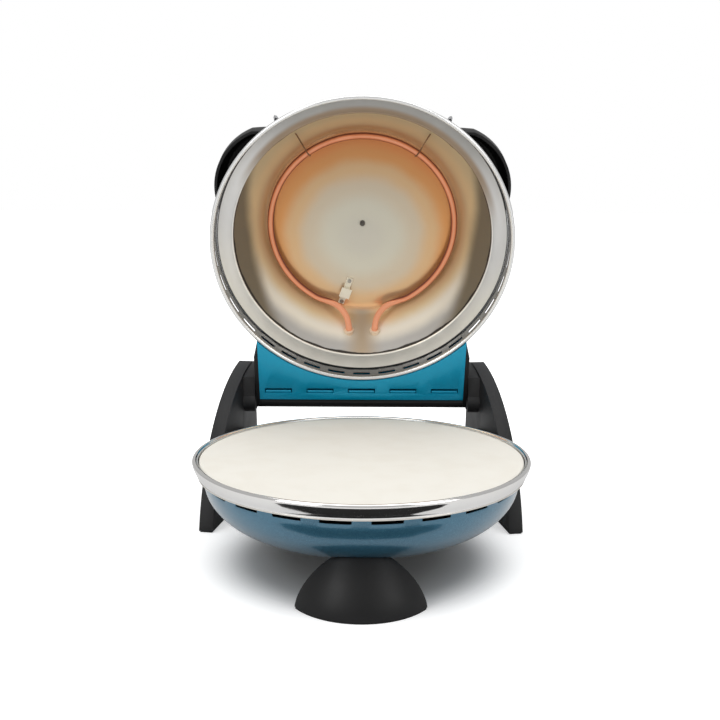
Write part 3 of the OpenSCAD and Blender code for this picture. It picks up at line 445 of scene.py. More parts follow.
bowl_enamel = enamel("bowl_enamel", (0.026, 0.120, 0.195), (0.085, 0.235, 0.33), 1.0, 0.6)
bowl_band = grown("bowl_band", slotted_band, {
    "Lower Radius": bowl_width(band_height), "Upper Radius": bowl_radius, "Bottom": bowl_top - band_height,
    "Slot Bottom": bowl_top - vent_drop, "Slot Top": bowl_top - vent_edge, "Top": bowl_top,
    "Slots": bowl_vents, "Steps per Slot": vent_steps, "Open Steps": vent_open_steps, "First Step": 3,
    "Finish": bowl_enamel})
bowl_body = grown("bowl_body", pressed_shell, {
    "Radius": bowl_radius, "Depth": -bowl_depth, "Power": bowl_power, "Collar": band_height,
    "Around": bowl_vents * vent_steps, "Rings": 44, "Rim": bowl_top, "Finish": bowl_enamel})
bowl = made("bowl_shell", joined(as_shape(bowl_band), as_shape(bowl_body)), base_place,
            bowl_body.materials[-1], "base", ["lower_bowl"], 60)
sheet_metal(bowl, bowl_sheet, -1, 0.25)

# Base ring
# A band of bright rolled steel, spun with a full bead along its top and drawn in below.
# Its inner wall stands on the pan's flange, and the stone lies inside it.
ring_radius = 161.5
ring_top = 105
ring_bead = 2.3
ring_skirt = 92.5
ring_inside = 155.8
skirt_inside = 156.5
skirt_draw = 3.9
skirt_bulge = 1.5
skirt_steps = 9
pan_seat = stone_under
bead_radius, bead_height = ring_radius - ring_bead, ring_top - ring_bead


def arc(centre, r, start, end, steps=10):
    """Points of an arc in a section, angles in degrees."""
    angles = [math.radians(start + (end - start) * k / steps) for k in range(steps + 1)]
    return [(centre[0] + r * math.cos(a), centre[1] + r * math.sin(a)) for a in angles]


# Brushing and polishing marks that run round the axis of a spun piece
spun_lines, spun_in, spun_out = shared_effect(
    "spun_lines", [("Vector", VECTOR, None), ("Lines", FLOAT, 1800.0), ("Wander", FLOAT, 2.0)],
    [("Height", FLOAT), ("Wear", FLOAT)])
spun_sum = partial(reckon, spun_lines)
spun_x, spun_y, spun_z = step(spun_lines, "ShaderNodeSeparateXYZ", None, {0: spun_in["Vector"]}).outputs
spun_radius = spun_sum("SQRT", spun_sum(
    "ADD", spun_sum("POWER", spun_x, 2.0), spun_sum("POWER", spun_y, 2.0)))
spun_join = step(spun_lines, "ShaderNodeCombineXYZ", None, {
    0: spun_sum("MULTIPLY", spun_radius, spun_in["Lines"]),
    1: spun_sum("MULTIPLY", spun_sum("ARCTAN2", spun_x, spun_y), spun_in["Wander"]),
    2: spun_sum("MULTIPLY", spun_z, spun_in["Lines"])})
spun_noise = step(spun_lines, "ShaderNodeTexNoise", None, {
    "Vector": spun_join.outputs[0], "Scale": 1, "Detail": 5})
spun_wear = step(spun_lines, "ShaderNodeTexNoise", None, {
    "Vector": spun_in["Vector"], "Scale": 28, "Detail": 5})
feed(spun_lines, spun_out["Height"], spun_noise.outputs["Fac"])
feed(spun_lines, spun_out["Wear"], spun_wear.outputs["Fac"])


def on_axis(finish, place):
    """Object coordinates measured from the axis that a piece was spun about."""
    back = place.inverted()
    back_scale = back.to_scale().x * MM
    mapping = finish.node(
        "ShaderNodeMapping", Vector=finish.coordinates, Location=back.to_translation() * MM,
        Rotation=back.to_euler(), Scale=(back_scale, back_scale, back_scale))
    return mapping.outputs["Vector"]


def polished(name, place, colour=(0.78, 0.77, 0.755), rough=(0.06, 0.16), metallic=1.0):
    """Spun and polished steel, with faint marks round its axis."""
    steel = Finish(name, colour, Metallic=metallic)
    marks = steel.effect(spun_lines, Vector=on_axis(steel, place), Lines=1500.0, Wander=3.0)
    steel.roughened(marks.outputs["Wear"], 0.35, 0.7, *rough)
    steel.raised(marks.outputs["Height"], 0.006)
    return steel.material


inner_wall = eased([(ring_inside, pan_seat + 1.98, 0), (ring_inside, bead_height + 0.9, 0.4),
                    (ring_inside + 1.3, bead_height + 1, 0)])
skirt = []
for k in range(1, skirt_steps):
    down = k / skirt_steps
    skirt.append((ring_radius - skirt_draw * down + skirt_bulge * down * (1 - down),
                  bead_height - 0.6 - (bead_height - ring_skirt - 1) * down))
skirt_edge = arc((157.35, ring_skirt + 0.35), 0.35, 0, -180, 6)
made("base_ring", turned([
    (ring_inside, pan_seat), *inner_wall, *arc((bead_radius, bead_height), ring_bead, 150, -8, 14), *skirt,
    *skirt_edge, (bead_radius - 0.6, bead_height - 1.3), (skirt_inside, bead_height - 1.3),
    (skirt_inside, pan_seat)], 256, True),
    base_place, polished("ring_steel", base_place), "base", ["base_trim_ring"], 50)

# Pan under the stone
# A pressed tray of aluminised steel that throws the lower element's heat upwards. The
# element, its clips and its insulating bushes sit in it, all but hidden by the stone.


def satin_sheet(name, place, colour, rough=0.32):
    """Aluminised sheet with a satin face."""
    sheet = Finish(name, colour, Metallic=1.0)
    marks = sheet.effect(spun_lines, Vector=on_axis(sheet, place), Lines=900.0, Wander=2.0)
    sheet.roughened(marks.outputs["Wear"], 0.3, 0.75, rough - 0.06, rough + 0.12)
    sheet.raised(marks.outputs["Height"], 0.06)
    return sheet.material


pan_sheet = satin_sheet("pan_sheet", base_place, (0.70, 0.68, 0.63))

# Black mouldings of the base: front foot, two legs and the rear crossbar
# Thick glass-filled plastic with a fine even grain and softly rounded edges. The legs stand
# toed in, carry the hinge in their heads and are bolted through to the crossbar.
# Tones of the legs: painted shade at their feet, painted light up at their heads
leg_foot_painted_shade = (0.006, 0.006, 0.0065)
leg_head_painted_light = (0.040, 0.040, 0.042)


def moulding(name, shade=0.008, rough=0.42):
    """Moulded plastic or rubber with a fine even grain."""
    plastic = Finish(name, (shade, shade, shade * 1.04), IOR=1.34)
    grain = plastic.effect(fine_grain, Vector=plastic.coordinates, Scale=2600.0, Detail=2.0)
    plastic.roughened(grain.outputs["Mottle"], 0.3, 0.7, rough - 0.05, rough + 0.06)
    plastic.raised(grain.outputs["Height"], 0.10)
    return plastic.material


def rounded_copy(node, name, width, finish, body, segments=3, angle=32):
    """A copy of a frame node with its facets merged and its edges rounded by so many millimetres."""
    work = bmesh.new()
    work.from_mesh(frame["nodes"][node].data)
    bmesh.ops.remove_doubles(work, verts=work.verts, dist=2e-6)
    bmesh.ops.dissolve_limit(work, angle_limit=math.radians(0.4), verts=work.verts, edges=work.edges)
    mesh = bpy.data.meshes.new(name)
    work.to_mesh(mesh)
    work.free()
    piece = placed(name, mesh)
    bevel = piece.modifiers.new("edges", "BEVEL")
    bevel.width = width * MM
    bevel.segments = segments
    bevel.limit_method = "ANGLE"
    bevel.angle_limit = math.radians(angle)
    bevel.miter_outer = "MITER_ARC"
    piece.data = as_built(piece)
    piece.modifiers.clear()
    crease(piece.data, 28)
    piece.data.materials.clear()
    piece.data.materials.append(finish)
    mounted(piece, body, [node])


black_moulding = moulding("black_moulding")
leg = Finish("leg_moulding_painted_shade", IOR=1.4, Roughness=0.5)
leg_grain = leg.effect(fine_grain, Vector=leg.coordinates, Scale=2600.0, Detail=2.0)
leg_height = leg.node("ShaderNodeSeparateXYZ", Vector=leg.coordinates).outputs[2]
# Painted shade: the legs are darker towards the floor and lighter up at their heads
leg.to("Base Color", leg.ramp(
    leg.plus(leg.times(leg_height, 3.5), leg.times(leg_grain.outputs["Mottle"], 0.08)),
    (0.30, leg_foot_painted_shade), (0.80, leg_head_painted_light)))
leg.raised(leg_grain.outputs["Height"], 0.10)
rounded_copy("front_foot", "foot_shell", 0.7, black_moulding, "base")
for side in ("left", "right"):
    rounded_copy(side + "_leg", "leg_" + side, 1.6, leg.material, "base")
rounded_copy("rear_crossbar", "crossbar", 0.6, black_moulding, "base", 2)

# Lid, hinged on the legs
# The lid is described closed, about its own axis and from its rim upwards, and lid_place
# swings it open about the hinge pins, to where the frame keeps it at rest.
lid_rim = 106.5
hinge = next(joint for joint in frame["joints"] if joint["name"] == "lid_hinge")
hinge_point = Vector(hinge["pos_m"])
lid_opening = math.radians(hinge["range_deg"][1])
lid_place = (Matrix.Translation(hinge_point) @ Matrix.Rotation(-lid_opening, 4, "X")
             @ Matrix.Translation(-hinge_point) @ Matrix.Translation((0, stone_y, lid_rim * MM))
             @ Matrix.Diagonal((MM, MM, MM, 1)))

# Lid ring
# A channel of rolled steel round the lid's mouth: a full bright bead at its edge, and a wall, pierced
# with long steam slots, that leans in towards the pan it carries. The wall's dark tone is a painted
# dark reflection.
lid_wall = 156
lid_wall_top = 19.5
lid_slots = 34
steam_slot_bottom = 6.5
steam_slot_top = 10.5
lid_steel = polished("lid_ring_steel", lid_place, (0.80, 0.80, 0.795), (0.16, 0.28), 0.75)
# The wall's steel is toned dark as a painted dark reflection
wall_dark_reflection_steel = polished("lid_wall_painted_reflection", lid_place, (0.22, 0.22, 0.225), (0.20, 0.34))

lid_band = grown("lid_band", slotted_band, {
    "Lower Radius": lid_wall + 1.7, "Upper Radius": lid_wall + 0.5, "Bottom": 2.2,
    "Slot Bottom": steam_slot_bottom, "Slot Top": steam_slot_top, "Top": lid_wall_top - 0.05,
    "Slots": lid_slots, "Steps per Slot": 12, "Open Steps": 8, "First Step": 8, "Finish": wall_dark_reflection_steel})
band_piece = made("lid_ring_wall", as_shape(lid_band), lid_place, lid_band.materials[-1], "lid",
                  ["lid_trim_ring"], 60)
sheet_metal(band_piece, 1.0, 0, 0.2)
made("lid_ring_bead", turned([
    *arc((bead_radius, ring_bead), ring_bead, -140, 140, 18), (157.25, 2.9), (157.25, 1.4), (157.6, 1.0)],
    256, True), lid_place, lid_steel, "lid", (), 50)

# Rim of the lid's pan
# A sloping ring of aluminised steel between the lid's ring and the mouth of the dish. Its inner
# edge is rolled over and scorched at the front. Painted shade darkens the front of the ring, painted
# light brightens its rear, and a painted shadow lines the gap at its outer edge.
mouth = 140
mouth_height = 22.5
mouth_roll = 1.25
# Tones of the rim: its own sheet, a painted light, a painted shade, its scorch and a painted gap shadow
plain_sheet = (0.76, 0.75, 0.73)
painted_light_sheet = (0.93, 0.90, 0.82)
painted_shade_sheet = (0.37, 0.36, 0.34)
scorched_sheet = (0.34, 0.25, 0.17)
seam_gap_shadow = (0.04, 0.04, 0.04)
scorch_reach = (142.5 * MM, 148 * MM)
seam_shadow_reach = (154.5 * MM, 155.1 * MM)


def between(finish, value, first, last):
    """An eased step from 0 at the first value to 1 at the last."""
    return finish.node("ShaderNodeMapRange", {"interpolation_type": "SMOOTHSTEP"}, Value=value,
                       From_Min=first, From_Max=last).outputs[0]


def blended(finish, factor, under, over):
    """Two tones mixed, each a colour or a socket: under at 0, over at 1."""
    tones = [(*tone, 1) if isinstance(tone, tuple) else tone for tone in (under, over)]
    mix = step(finish.tree, "ShaderNodeMix", {"data_type": "RGBA"}, {0: factor, 6: tones[0], 7: tones[1]})
    return mix.outputs[2]


def from_axis(finish, x, y, shift=0.0):
    """Distance from the axis, or from a line set so far behind it."""
    back = finish.minus(y, shift)
    return reckon(finish.tree, "SQRT", finish.plus(finish.times(x, x), finish.times(back, back)))


rim = Finish("rim_sheet", Metallic=0.55, Roughness=0.34)
rim_axis = on_axis(rim, lid_place)
rim_marks = rim.effect(spun_lines, Vector=rim_axis, Lines=900.0, Wander=2.0)
rim_x, rim_y = rim.node("ShaderNodeSeparateXYZ", Vector=rim_axis).outputs[:2]
rim_reach = from_axis(rim, rim_x, rim_y)
forward = rim.over(rim.minus(rim.times(rim_x, 0.15), rim_y), rim_reach)
# Painted shade over the front of the ring, made uneven by the marks' wear
painted_shade_front = rim.times(between(rim, forward, 0.30, 0.92),
                   rim.plus(0.75, rim.times(rim_marks.outputs["Wear"], 0.5)))
scorched = rim.times(rim.minus(1.0, between(rim, rim_reach, *scorch_reach)),
                     between(rim, forward, 0.2, 0.7))
# Painted light: the rear of the ring brighter and warmer
rim_tone = blended(rim, between(rim, forward, 0.10, -0.50), plain_sheet, painted_light_sheet)
rim_tone = blended(rim, painted_shade_front, rim_tone, painted_shade_sheet)
rim_tone = blended(rim, scorched, rim_tone, scorched_sheet)
# Painted shadow in the gap at the ring's outer edge
rim.to("Base Color", blended(rim, between(rim, rim_reach, *seam_shadow_reach), rim_tone, seam_gap_shadow))
rim.raised(rim_marks.outputs["Height"], 0.06)
made("lid_rim", turned([
    (ring_inside, lid_wall_top - 1), (ring_inside, lid_wall_top), (mouth + 1.6, mouth_height - 0.1),
    *arc((mouth + 0.1, mouth_height - mouth_roll), mouth_roll, 60, 290, 12),
    (mouth + 1.8, mouth_height - 1.5)], 256, True),
    lid_place, rim.material, "lid", ["lid_rim_pan"], 50)

# Reflector dish
# A deep spun dish of aluminised steel above the upper element. Its colour holds painted light: the
# glowing tube's orange and straw on the floor and the low wall, brown up the wall with painted shade
# at the sides, painted highlights and a dark painted reflection streak at the rear, and a painted
# shadow under the lip. It is bare in the middle, and painted light brightens the floor at the rear.
dish_height = 76.5
dish_floor = 108.5
dish_lip = 147.8
glow_shift = 0.016
highlight_wall = (0.93, 0.90, 0.80)
grey_wall = (0.52, 0.515, 0.50)
smoke_and_shade_brown = (0.23, 0.195, 0.14)
reflection_streak_brown = (0.50, 0.40, 0.29)
under_lip_shadow = (0.05, 0.045, 0.04)

# How far out and up the sheet each change of its tints, painted light and shade starts and ends, in metres
floor_edge = (0.101, 0.114)
satin_edge = (0.104, 0.122)
smoke_and_shade_reach = 0.145
highlight_reach = (0.126, 0.150)
highlight_fade_reach = (0.152, 0.176)
lip_shadow_reach = (0.1835, 0.1850)

dish = Finish("dish_painted_light", Metallic=0.6)
dish_axis = on_axis(dish, lid_place)
dish_x, dish_y, dish_z = dish.node("ShaderNodeSeparateXYZ", Vector=dish_axis).outputs
dish_marks = dish.effect(spun_lines, Vector=dish_axis, Lines=700.0, Wander=1.5)
uneven = dish.times(dish.minus(dish_marks.outputs["Wear"], 0.5), 0.009)

# The floor holds the tube's painted glow, centred a little behind the middle, and painted light that
# brightens it towards the rear
floor_reach = dish.plus(from_axis(dish, dish_x, dish_y, glow_shift), uneven)
# Painted glow of the hot tube on the floor
floor_glow = dish.ramp(
    dish.over(floor_reach, 0.12),
    (0.10, (0.54, 0.52, 0.46)), (0.30, (0.57, 0.55, 0.47)), (0.50, (0.57, 0.49, 0.38)),
    (0.66, (0.64, 0.43, 0.24)), (0.80, (0.67, 0.31, 0.11)), (0.95, (0.72, 0.25, 0.08)))
# Painted light: the floor brighter towards the rear
floor_glow_and_light = dish.node("ShaderNodeVectorMath", {"operation": "SCALE"}, Vector=floor_glow,
                       Scale=dish.plus(1.0, dish.times(dish_y, 2.8))).outputs[0]

# The wall holds the tube's painted glow near the floor and is smoked brown up to the lip, with
# painted shade darkest at the sides; at the rear it has a painted highlight, split by a dark painted
# reflection streak
dish_reach = from_axis(dish, dish_x, dish_y)
up_wall = dish.plus(uneven, dish.plus(dish_reach, dish.times(dish.minus(dish_height * MM, dish_z), 0.9)))
# Painted glow of the hot tube on the low wall
wall_glow = dish.ramp(dish.times(dish.minus(up_wall, 0.108), 12.0), (0.0, (0.80, 0.52, 0.28)),
                      (0.33, (0.84, 0.68, 0.41)), (0.85, (0.68, 0.58, 0.38)))
sideways = dish.over(reckon(dish.tree, "ABSOLUTE", dish_x), dish_reach)
backward = dish.over(dish_y, dish_reach)
smoke_and_shade_line = dish.plus(smoke_and_shade_reach, dish.times(backward, dish.minus(dish.times(backward, 0.10), 0.02)))
# Smoked brown with painted shade, darkest at the sides
smoked_and_shaded = between(dish, dish.minus(up_wall, smoke_and_shade_line), -0.016, 0.014)
behind = between(dish, backward, 0.10, 0.62)
# Painted highlight on the rear of the wall, fading to grey further up
clear = dish.times(behind, between(dish, up_wall, *highlight_reach))
# A dark painted reflection streak down the middle of the rear
streak = dish.times(behind, dish.minus(1.0, between(dish, sideways, 0.0, 0.20)))
highlight_tone = blended(dish, between(dish, up_wall, *highlight_fade_reach), highlight_wall, grey_wall)
wall_tone = blended(dish, clear, wall_glow, highlight_tone)
wall_tone = blended(dish, smoked_and_shaded, wall_tone, smoke_and_shade_brown)
wall_tone = blended(dish, streak, wall_tone, reflection_streak_brown)
# A painted shadow under the dish's lip
wall_tone = blended(dish, between(dish, up_wall, *lip_shadow_reach), wall_tone, under_lip_shadow)
dish.to("Base Color", blended(dish, between(dish, up_wall, *floor_edge), floor_glow_and_light, wall_tone))
dish.roughened(up_wall, *satin_edge, 0.24, 0.46)
dish.raised(dish_marks.outputs["Height"], 0.05)

dish_inside = eased([(mouth - 0.2, mouth_height + 0.1, 0), (mouth - 0.6, mouth_height + 0.7, 0),
                     (dish_floor, dish_height, 9.5), (0, dish_height, 0)], 10)
dish_outside = eased([(0, dish_height + 1, 0), (dish_floor + 1.2, dish_height + 1, 10),
                      (mouth + 1.2, mouth_height + 1, 0)], 10)
made("dish", turned([
    (dish_lip, mouth_height + 1.0), (dish_lip, mouth_height + 0.1), *dish_inside, *dish_outside], 256, True),
    lid_place, dish.material, "lid", ["reflector_dish"], 30)

# Upper element
# A sheathed heating tube bent to an open ring. At the rear its ends sweep down and out
# through two insulated ferrules in the wall of the dish. It glows orange when hot.
tube_ring = 102.5
tube_height = 67
tube_size = 3.5
end_x = 15
ferrule_out = 21.4
ferrule_drop = 18.4
sheath_glow_and_shade_tones = (0.13, (0.72, 0.29, 0.155)), (0.27, (0.60, 0.18, 0.07)), (0.55, (0.15, 0.035, 0.015))

swept_tube, tube_values = grown_tree("swept_tube", [
    ("Geometry", "NodeSocketGeometry", None), ("Radius", FLOAT, 3.0), ("Sides", COUNT, 20)])
tube_profile = step(swept_tube, "GeometryNodeCurvePrimitiveCircle", {"mode": "RADIUS"}, {
    "Resolution": tube_values["Sides"], "Radius": tube_values["Radius"]})
tube_mesh = step(swept_tube, "GeometryNodeCurveToMesh", None, {
    "Curve": tube_values["Geometry"], "Profile Curve": tube_profile.outputs[0], "Fill Caps": True})
ended(swept_tube, tube_values, tube_mesh.outputs[0])


def wire(name, points, size, sides, finish, smooth=True):
    """A tube's mesh, swept along points in millimetres."""
    line = bpy.data.curves.new(name, "CURVE")
    line.dimensions = "3D"
    spline = line.splines.new("BEZIER" if smooth else "POLY")
    if smooth:
        spline.bezier_points.add(len(points) - 1)
        for point, at in zip(spline.bezier_points, points):
            point.co = at
            point.handle_left_type = point.handle_right_type = "AUTO"
        spline.resolution_u = 6
    else:
        spline.points.add(len(points) - 1)
        for point, at in zip(spline.points, points):
            point.co = (*at, 1)
    return grown(name, swept_tube, {"Radius": size, "Sides": sides, "Finish": finish}, placed(name, line))


lead = [(41, tube_ring - 10.1, -0.5), (31, tube_ring - 6.6, -2.5), (end_x + 8.5, tube_ring - 1.6, -6),
        (end_x + 3, tube_ring + 5, -11), (end_x + 0.8, tube_ring + 11, -15.6),
        (end_x, tube_ring + 16.3, -19.5), (end_x, tube_ring + ferrule_out, -ferrule_drop),
        (end_x, tube_ring + 32.1, -16.1)]
ring_path = [(tube_ring * math.sin(math.radians(a)), -tube_ring * math.cos(math.radians(a)), tube_height)
             for a in range(-150, 151, 6)]
ends = [(x, y, z + tube_height) for x, y, z in lead]
tube_path = [(-x, y, z) for x, y, z in reversed(ends)] + ring_path + ends

hot = Finish("hot_sheath", Roughness=0.55, Emission_Strength=0.10)
hot_height = hot.node("ShaderNodeSeparateXYZ", Vector=on_axis(hot, lid_place)).outputs[2]
hot_mottle = hot.effect(fine_grain, Vector=hot.coordinates, Scale=1500.0, Detail=4.0)
# Painted shade: the tube's colour and glow are bright on its open side and dark up its flanks
hot_shaded_flank = hot.over(hot.minus(hot_height, (tube_height - tube_size) * MM), tube_size * MM)
glow_with_painted_shade = hot.ramp(hot.plus(hot_shaded_flank, hot.times(hot_mottle.outputs["Mottle"], 0.25)), *sheath_glow_and_shade_tones)
hot.to("Base Color", glow_with_painted_shade)
hot.to("Emission Color", glow_with_painted_shade)
hot.raised(hot_mottle.outputs["Height"], 0.08)
tube = wire("heating_tube", tube_path, tube_size, 24, hot.material)
made("heating_tube", as_shape(tube), lid_place, tube.materials[-1], "lid",
     ["upper_element"], 50)

# Ferrules of the upper element
# Two pale ceramic sleeves, each with a flange at its inner end, hold the tube's ends in the
# dish wall.
sleeve_bore = 3.55
sleeve_outside = 5.1
sleeve_flange = 6.0
ferrule_at = Vector((end_x, tube_ring + ferrule_out, tube_height - ferrule_drop))
ferrule_turn = Vector((0, 10.7, 2.3)).to_track_quat("Z", "Y").to_matrix().to_4x4()


def mottled(name, first, last, grain_scale, grain_detail, bump=None, **settings):
    """A finish whose colour wanders between two tones."""
    finish = Finish(name, **settings)
    grain = finish.effect(fine_grain, Vector=finish.coordinates, Scale=grain_scale, Detail=grain_detail)
    finish.to("Base Color", finish.ramp(grain.outputs["Mottle"], (0.3, first), (0.7, last)))
    if bump:
        finish.raised(grain.outputs["Height"], bump)
    return finish.material


ceramic = mottled("glazed_ceramic", (0.70, 0.50, 0.34), (0.84, 0.68, 0.50), 1800.0, 2.0, 0.05,
                  Roughness=0.28, IOR=1.5)
sleeve = turned(eased([
    (sleeve_bore, -4, 0), (sleeve_flange, -4, 0.5), (sleeve_flange, -2.2, 0.4), (sleeve_outside, -2.0, 0.3),
    (sleeve_outside, 8, 0.3), (sleeve_bore, 8, 0), (sleeve_bore, -4, 0)])[:-1], 40, True)
sleeves = []
for side in (-1, 1):
    at = Matrix.Translation((side * ferrule_at.x, ferrule_at.y, ferrule_at.z)) @ ferrule_turn
    sleeves.append(([tuple(at @ Vector(v)) for v in sleeve[0]], sleeve[1]))
made("ferrules", joined(*sleeves), lid_place, ceramic, "lid", ["upper_element_bushes"])

# Hangers of the upper element
# Two bent wires hook the front of the ring up to the wall of the dish. Their hooks sit a few
# degrees further round than their feet.
hanger_angle = 31
hook_aside = 4
hook_height = tube_height - tube_size - 1.0


def hanger_point(side, r, z, aside=0.0):
    """A point of one hanger, so far from the axis and so far up."""
    turn = math.radians(hanger_angle + aside)
    return side * r * math.sin(turn), -r * math.cos(turn), z


burnt_wire = mottled("burnt_wire", (0.16, 0.08, 0.04), (0.34, 0.20, 0.11), 1200.0, 3.0,
                     Metallic=0.6, Roughness=0.5)
hangers = [wire("hanger", [
    hanger_point(side, 134.3, mouth_height + 8), hanger_point(side, 131.0, mouth_height + 8.6),
    hanger_point(side, tube_ring * 1.02, hook_height, hook_aside),
    hanger_point(side, tube_ring - 1, hook_height, hook_aside),
    hanger_point(side, tube_ring - 4.4, tube_height - 1.0, hook_aside)], 0.7, 10, burnt_wire, False)
    for side in (-1, 1)]
made("hanger_wires", joined(*[as_shape(hanger) for hanger in hangers]), lid_place, hangers[0].materials[-1],
     "lid", ["element_hangers"])

# Lid dome
# The lid's outer cover, deep-drawn like the bowl and in the same enamel, a little brighter.
# It meets the lid's ring with a plain edge, and the black handles are screwed to it.
dome_radius = 152.8
dome_rim = 20.35
dome_depth = 68.65
dome_power = 2.8
dome_sheet = 1.2
dome_enamel = enamel("dome_enamel", (0.0, 0.28, 0.47), (0.001, 0.46, 0.68), 0.25, 0.4)
dome_mesh = grown("dome", pressed_shell, {
    "Radius": dome_radius, "Depth": dome_depth, "Power": dome_power, "Collar": 0.0, "Around": 256,
    "Rings": 56, "Rim": dome_rim, "Finish": dome_enamel})
dome = made("dome_shell", as_shape(dome_mesh), lid_place, dome_mesh.materials[-1], "lid",
            ["lid_dome"], 60)
sheet_metal(dome, dome_sheet, -1, 0.3)

# Hinge box
# A folded steel box in the lid's enamel carries the lid back to its hinge. A row of slots, each
# with a pressed lip, runs along its underside. A black U-shaped frame with a barrel holds it.
lip_pitch = 47.6
lip_half = 14.6
lip_bulge = 1.75
lip_y = (hinge_point.y - stone_y) / MM - 17.75
lip_z = 0.75
rounded_copy("hinge_box", "hinge_cover", 0.9, dome_enamel, "lid")
lip = turned(eased([(0, -lip_half, 0), (lip_bulge, -lip_half, 1.7), (lip_bulge, lip_half, 1.7),
                    (0, lip_half, 0)]), 24)
lips = [([(z + lip_pitch * i, y * 0.9 + lip_y, x * 0.5 + lip_z) for x, y, z in lip[0]], lip[1])
        for i in range(-2, 3)]
made("slot_lips", joined(*lips), lid_place, dome_enamel, "lid")
rounded_copy("hinge_frame", "hinge_yoke", 0.7, black_moulding, "lid", 2)

# Handles and knobs
# Two black mouldings on the dome's shoulders are the grips for lifting the lid. Each has a
# round boss with a knob: the thermostat on one side, the timer and its lamp on the other.
for side in ("left", "right"):
    rounded_copy(side + "_handle", "handle_" + side, 0.8, black_moulding, "lid", angle=40)

# Small pieces that keep the frame's own shape
# Screws, pins, bushes, pads and the works inside: turned, stamped or moulded bought-in
# parts, each in the finish of its material.


def plain_metal(name, colour, rough, metallic=1.0):
    """Turned or stamped metal with a slightly uneven gloss."""
    metal = Finish(name, colour, Metallic=metallic)
    grain = metal.effect(fine_grain, Vector=metal.coordinates, Scale=1600.0, Detail=3.0)
    metal.roughened(grain.outputs["Mottle"], 0.3, 0.7, rough - 0.06, rough + 0.08)
    metal.raised(grain.outputs["Height"], 0.05)
    return metal.material


cold_sheath = plain_metal("cold_sheath", (0.10, 0.09, 0.08), 0.5, 0.6)
small_finishes = {
    "steel_hardware": plain_metal("hardware_steel", (0.42, 0.40, 0.37), 0.35),
    "dark_element": cold_sheath,
    "rubber_pad": moulding("pad_rubber", 0.012, 0.75),
    "pale_insulator": ceramic,
    "bronze_bush": plain_metal("sintered_bronze", (0.55, 0.36, 0.16), 0.4),
    "friction_fibre": moulding("washer_fibre", 0.09, 0.8),
    "black_plastic": black_moulding,
    "grey_plastic": plain_metal("satin_grip", (0.50, 0.50, 0.51), 0.3, 0.85),
    "pan_metal": pan_sheet,
    "red_lens": mottled("lamp_lens", (0.45, 0.015, 0.01), (0.62, 0.03, 0.02), 900.0, 1.0,
                        Roughness=0.18, IOR=1.49, Coat_Weight=0.5),
}
own_finishes = {
    "bulb_bracket": plain_metal("bracket_sheet", (0.82, 0.77, 0.64), 0.4, 0.3),
    "dish_centre_screw": cold_sheath,
}
slot_of = {entry["node"]: entry["material_slot"] for entry in frame["record"]["subparts"]}
for name, node in frame["nodes"].items():
    if not node.hide_render:
        node.data.materials.clear()
        node.data.materials.append(own_finishes.get(name) or small_finishes[slot_of[name]])

# Table and studio
# A white table that runs out of sight, with a painted shadow under and round the stone, a large soft
# lamp overhead and one on each side in front, in a pale room. A dark ring on the table shows only in
# the bright steel, as a painted dark reflection.
table_half = 30
table_white = (0.82, 0.82, 0.82)
table_painted_shadow = (0.31, 0.30, 0.29)
painted_shadow_reach = (0.06, 0.15)
near_reach = (0.10, 0.165)
far_reach = (0.15, 0.45)
white_light = (1, 1, 1, 1)
room_strength = 0.55

table_mesh = bpy.data.meshes.new("table")
table_corners = [(x * table_half, y * table_half, 0) for x, y in ((-1, -1), (1, -1), (1, 1), (-1, 1))]
table_mesh.from_pydata(table_corners, [], [(0, 1, 2, 3)])
table = Finish("table_white", Roughness=0.9)
table_mesh.materials.append(table.material)
placed("table_top", table_mesh)
table_x, table_y = table.node("ShaderNodeSeparateXYZ", Vector=table.coordinates).outputs[:2]
table_reach = from_axis(table, table_x, table_y, stone_y)
# The table's glow for the camera keeps it white and rises away from the stone, so the painted shadow fades out
near_light = table.times(between(table, table_reach, *near_reach), 0.50)
far_light = table.times(between(table, table_reach, *far_reach), 0.46)
lit = table.node("ShaderNodeEmission", Color=white_light, Strength=table.plus(near_light, far_light))
# Painted shadow: the table darker under and round the stone
table.to("Base Color", blended(table, between(table, table_reach, *painted_shadow_reach), table_painted_shadow, table_white))
plain_table = table.shader.outputs[0]
both = step(table.tree, "ShaderNodeAddShader", None, {0: plain_table, 1: lit.outputs[0]})
seen = table.node("ShaderNodeLightPath").outputs["Is Camera Ray"]
choice = step(table.tree, "ShaderNodeMixShader", None, {0: seen, 1: plain_table, 2: both.outputs[0]})
feed(table.tree, table.tree.nodes["Material Output"].inputs["Surface"], choice.outputs[0])

world = bpy.data.worlds.new("studio")
bpy.context.scene.world = world
world.use_nodes = True
room_tree = world.node_tree
room = room_tree.nodes["Background"]
room.inputs["Color"].default_value = white_light
room.inputs["Strength"].default_value = room_strength
bright = step(room_tree, "ShaderNodeBackground", None, {"Color": white_light, "Strength": 1.0})
room_seen = step(room_tree, "ShaderNodeLightPath").outputs
either = reckon(room_tree, "MAXIMUM", room_seen["Is Camera Ray"], room_seen["Is Transmission Ray"])
room_mix = step(room_tree, "ShaderNodeMixShader", None, {
    0: either, 1: room.outputs[0], 2: bright.outputs[0]})
feed(room_tree, room_tree.nodes["World Output"].inputs["Surface"], room_mix.outputs[0])


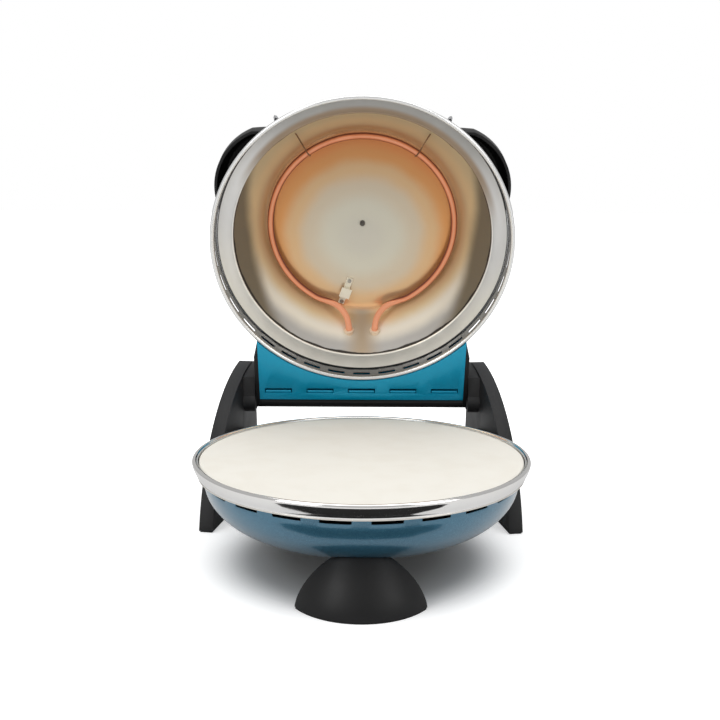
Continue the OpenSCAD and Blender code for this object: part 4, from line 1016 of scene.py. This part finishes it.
def soft_lamp(name, at, aim, size, power):
    """A soft rectangular lamp that faces a point."""
    light = bpy.data.lights.new(name, "AREA")
    light.shape = "RECTANGLE"
    light.size, light.size_y = size
    light.energy = power
    lamp = placed(name, light)
    lamp.location = at
    lamp.rotation_euler = (Vector(aim) - Vector(at)).to_track_quat("-Z", "Y").to_euler()


soft_lamp("overhead", (0.0, -0.1, 1.5), (0, 0, 0.1), (1.6, 1.2), 11)
soft_lamp("front_left", (-1.1, -1.3, 0.9), (0, 0, 0.2), (0.8, 1.0), 9)
soft_lamp("front_right", (1.2, -1.1, 0.8), (0, 0, 0.2), (0.8, 1.0), 6)

# A dark ring on the table, hidden from the camera, paints a dark reflection into the bright steel
shade_steps = 20
shade_rows = ((0.184, 2.2), (0.200, 3.0), (0.218, 3.9), (0.255, 4.3), (0.290, 3.8))
shade_points = []
for k in range(-shade_steps // 2, shade_steps // 2 + 1):
    for reach, spread in shade_rows:
        turn = math.radians(k * spread)
        shade_points.append((reach * math.sin(turn), stone_y - reach * math.cos(turn), 0.002))
row_length = len(shade_rows)
shade_faces = [(k + j, k + j + 1, k + j + row_length + 1, k + j + row_length)
               for k in range(0, shade_steps * row_length, row_length) for j in range(row_length - 1)]
shade_mesh = bpy.data.meshes.new("painted_reflection_ring")
shade_mesh.from_pydata(shade_points, [], shade_faces)
shade_mesh.materials.append(Finish("painted_reflection_ring", (0.01, 0.01, 0.01), Roughness=1.0).material)
shade = placed("painted_reflection_ring", shade_mesh)
shade.visible_camera = False
shade.visible_diffuse = False
shade.visible_shadow = False

# Camera
# At the height of a person seated in front of the worktop, looking slightly down.
camera_at = (-0.00188, stone_y - 0.89056, 0.34375)
camera_pitch, camera_roll = math.radians(9.433), math.radians(0.29)
camera_data = bpy.data.cameras.new("camera")
camera_data.sensor_width = 36
camera_data.lens = 47.5
ahead = Vector((0, math.cos(camera_pitch), -math.sin(camera_pitch)))
upward = Vector((0, math.sin(camera_pitch), math.cos(camera_pitch)))
across = Vector((1, 0, 0))
right = across * math.cos(camera_roll) + upward * math.sin(camera_roll)
top = upward * math.cos(camera_roll) - across * math.sin(camera_roll)
camera = placed("camera", camera_data)
camera.matrix_world = Matrix.Translation(camera_at) @ Matrix((right, top, -ahead)).transposed().to_4x4()
bpy.context.scene.camera = camera
bpy.context.scene.view_settings.view_transform = "Standard"
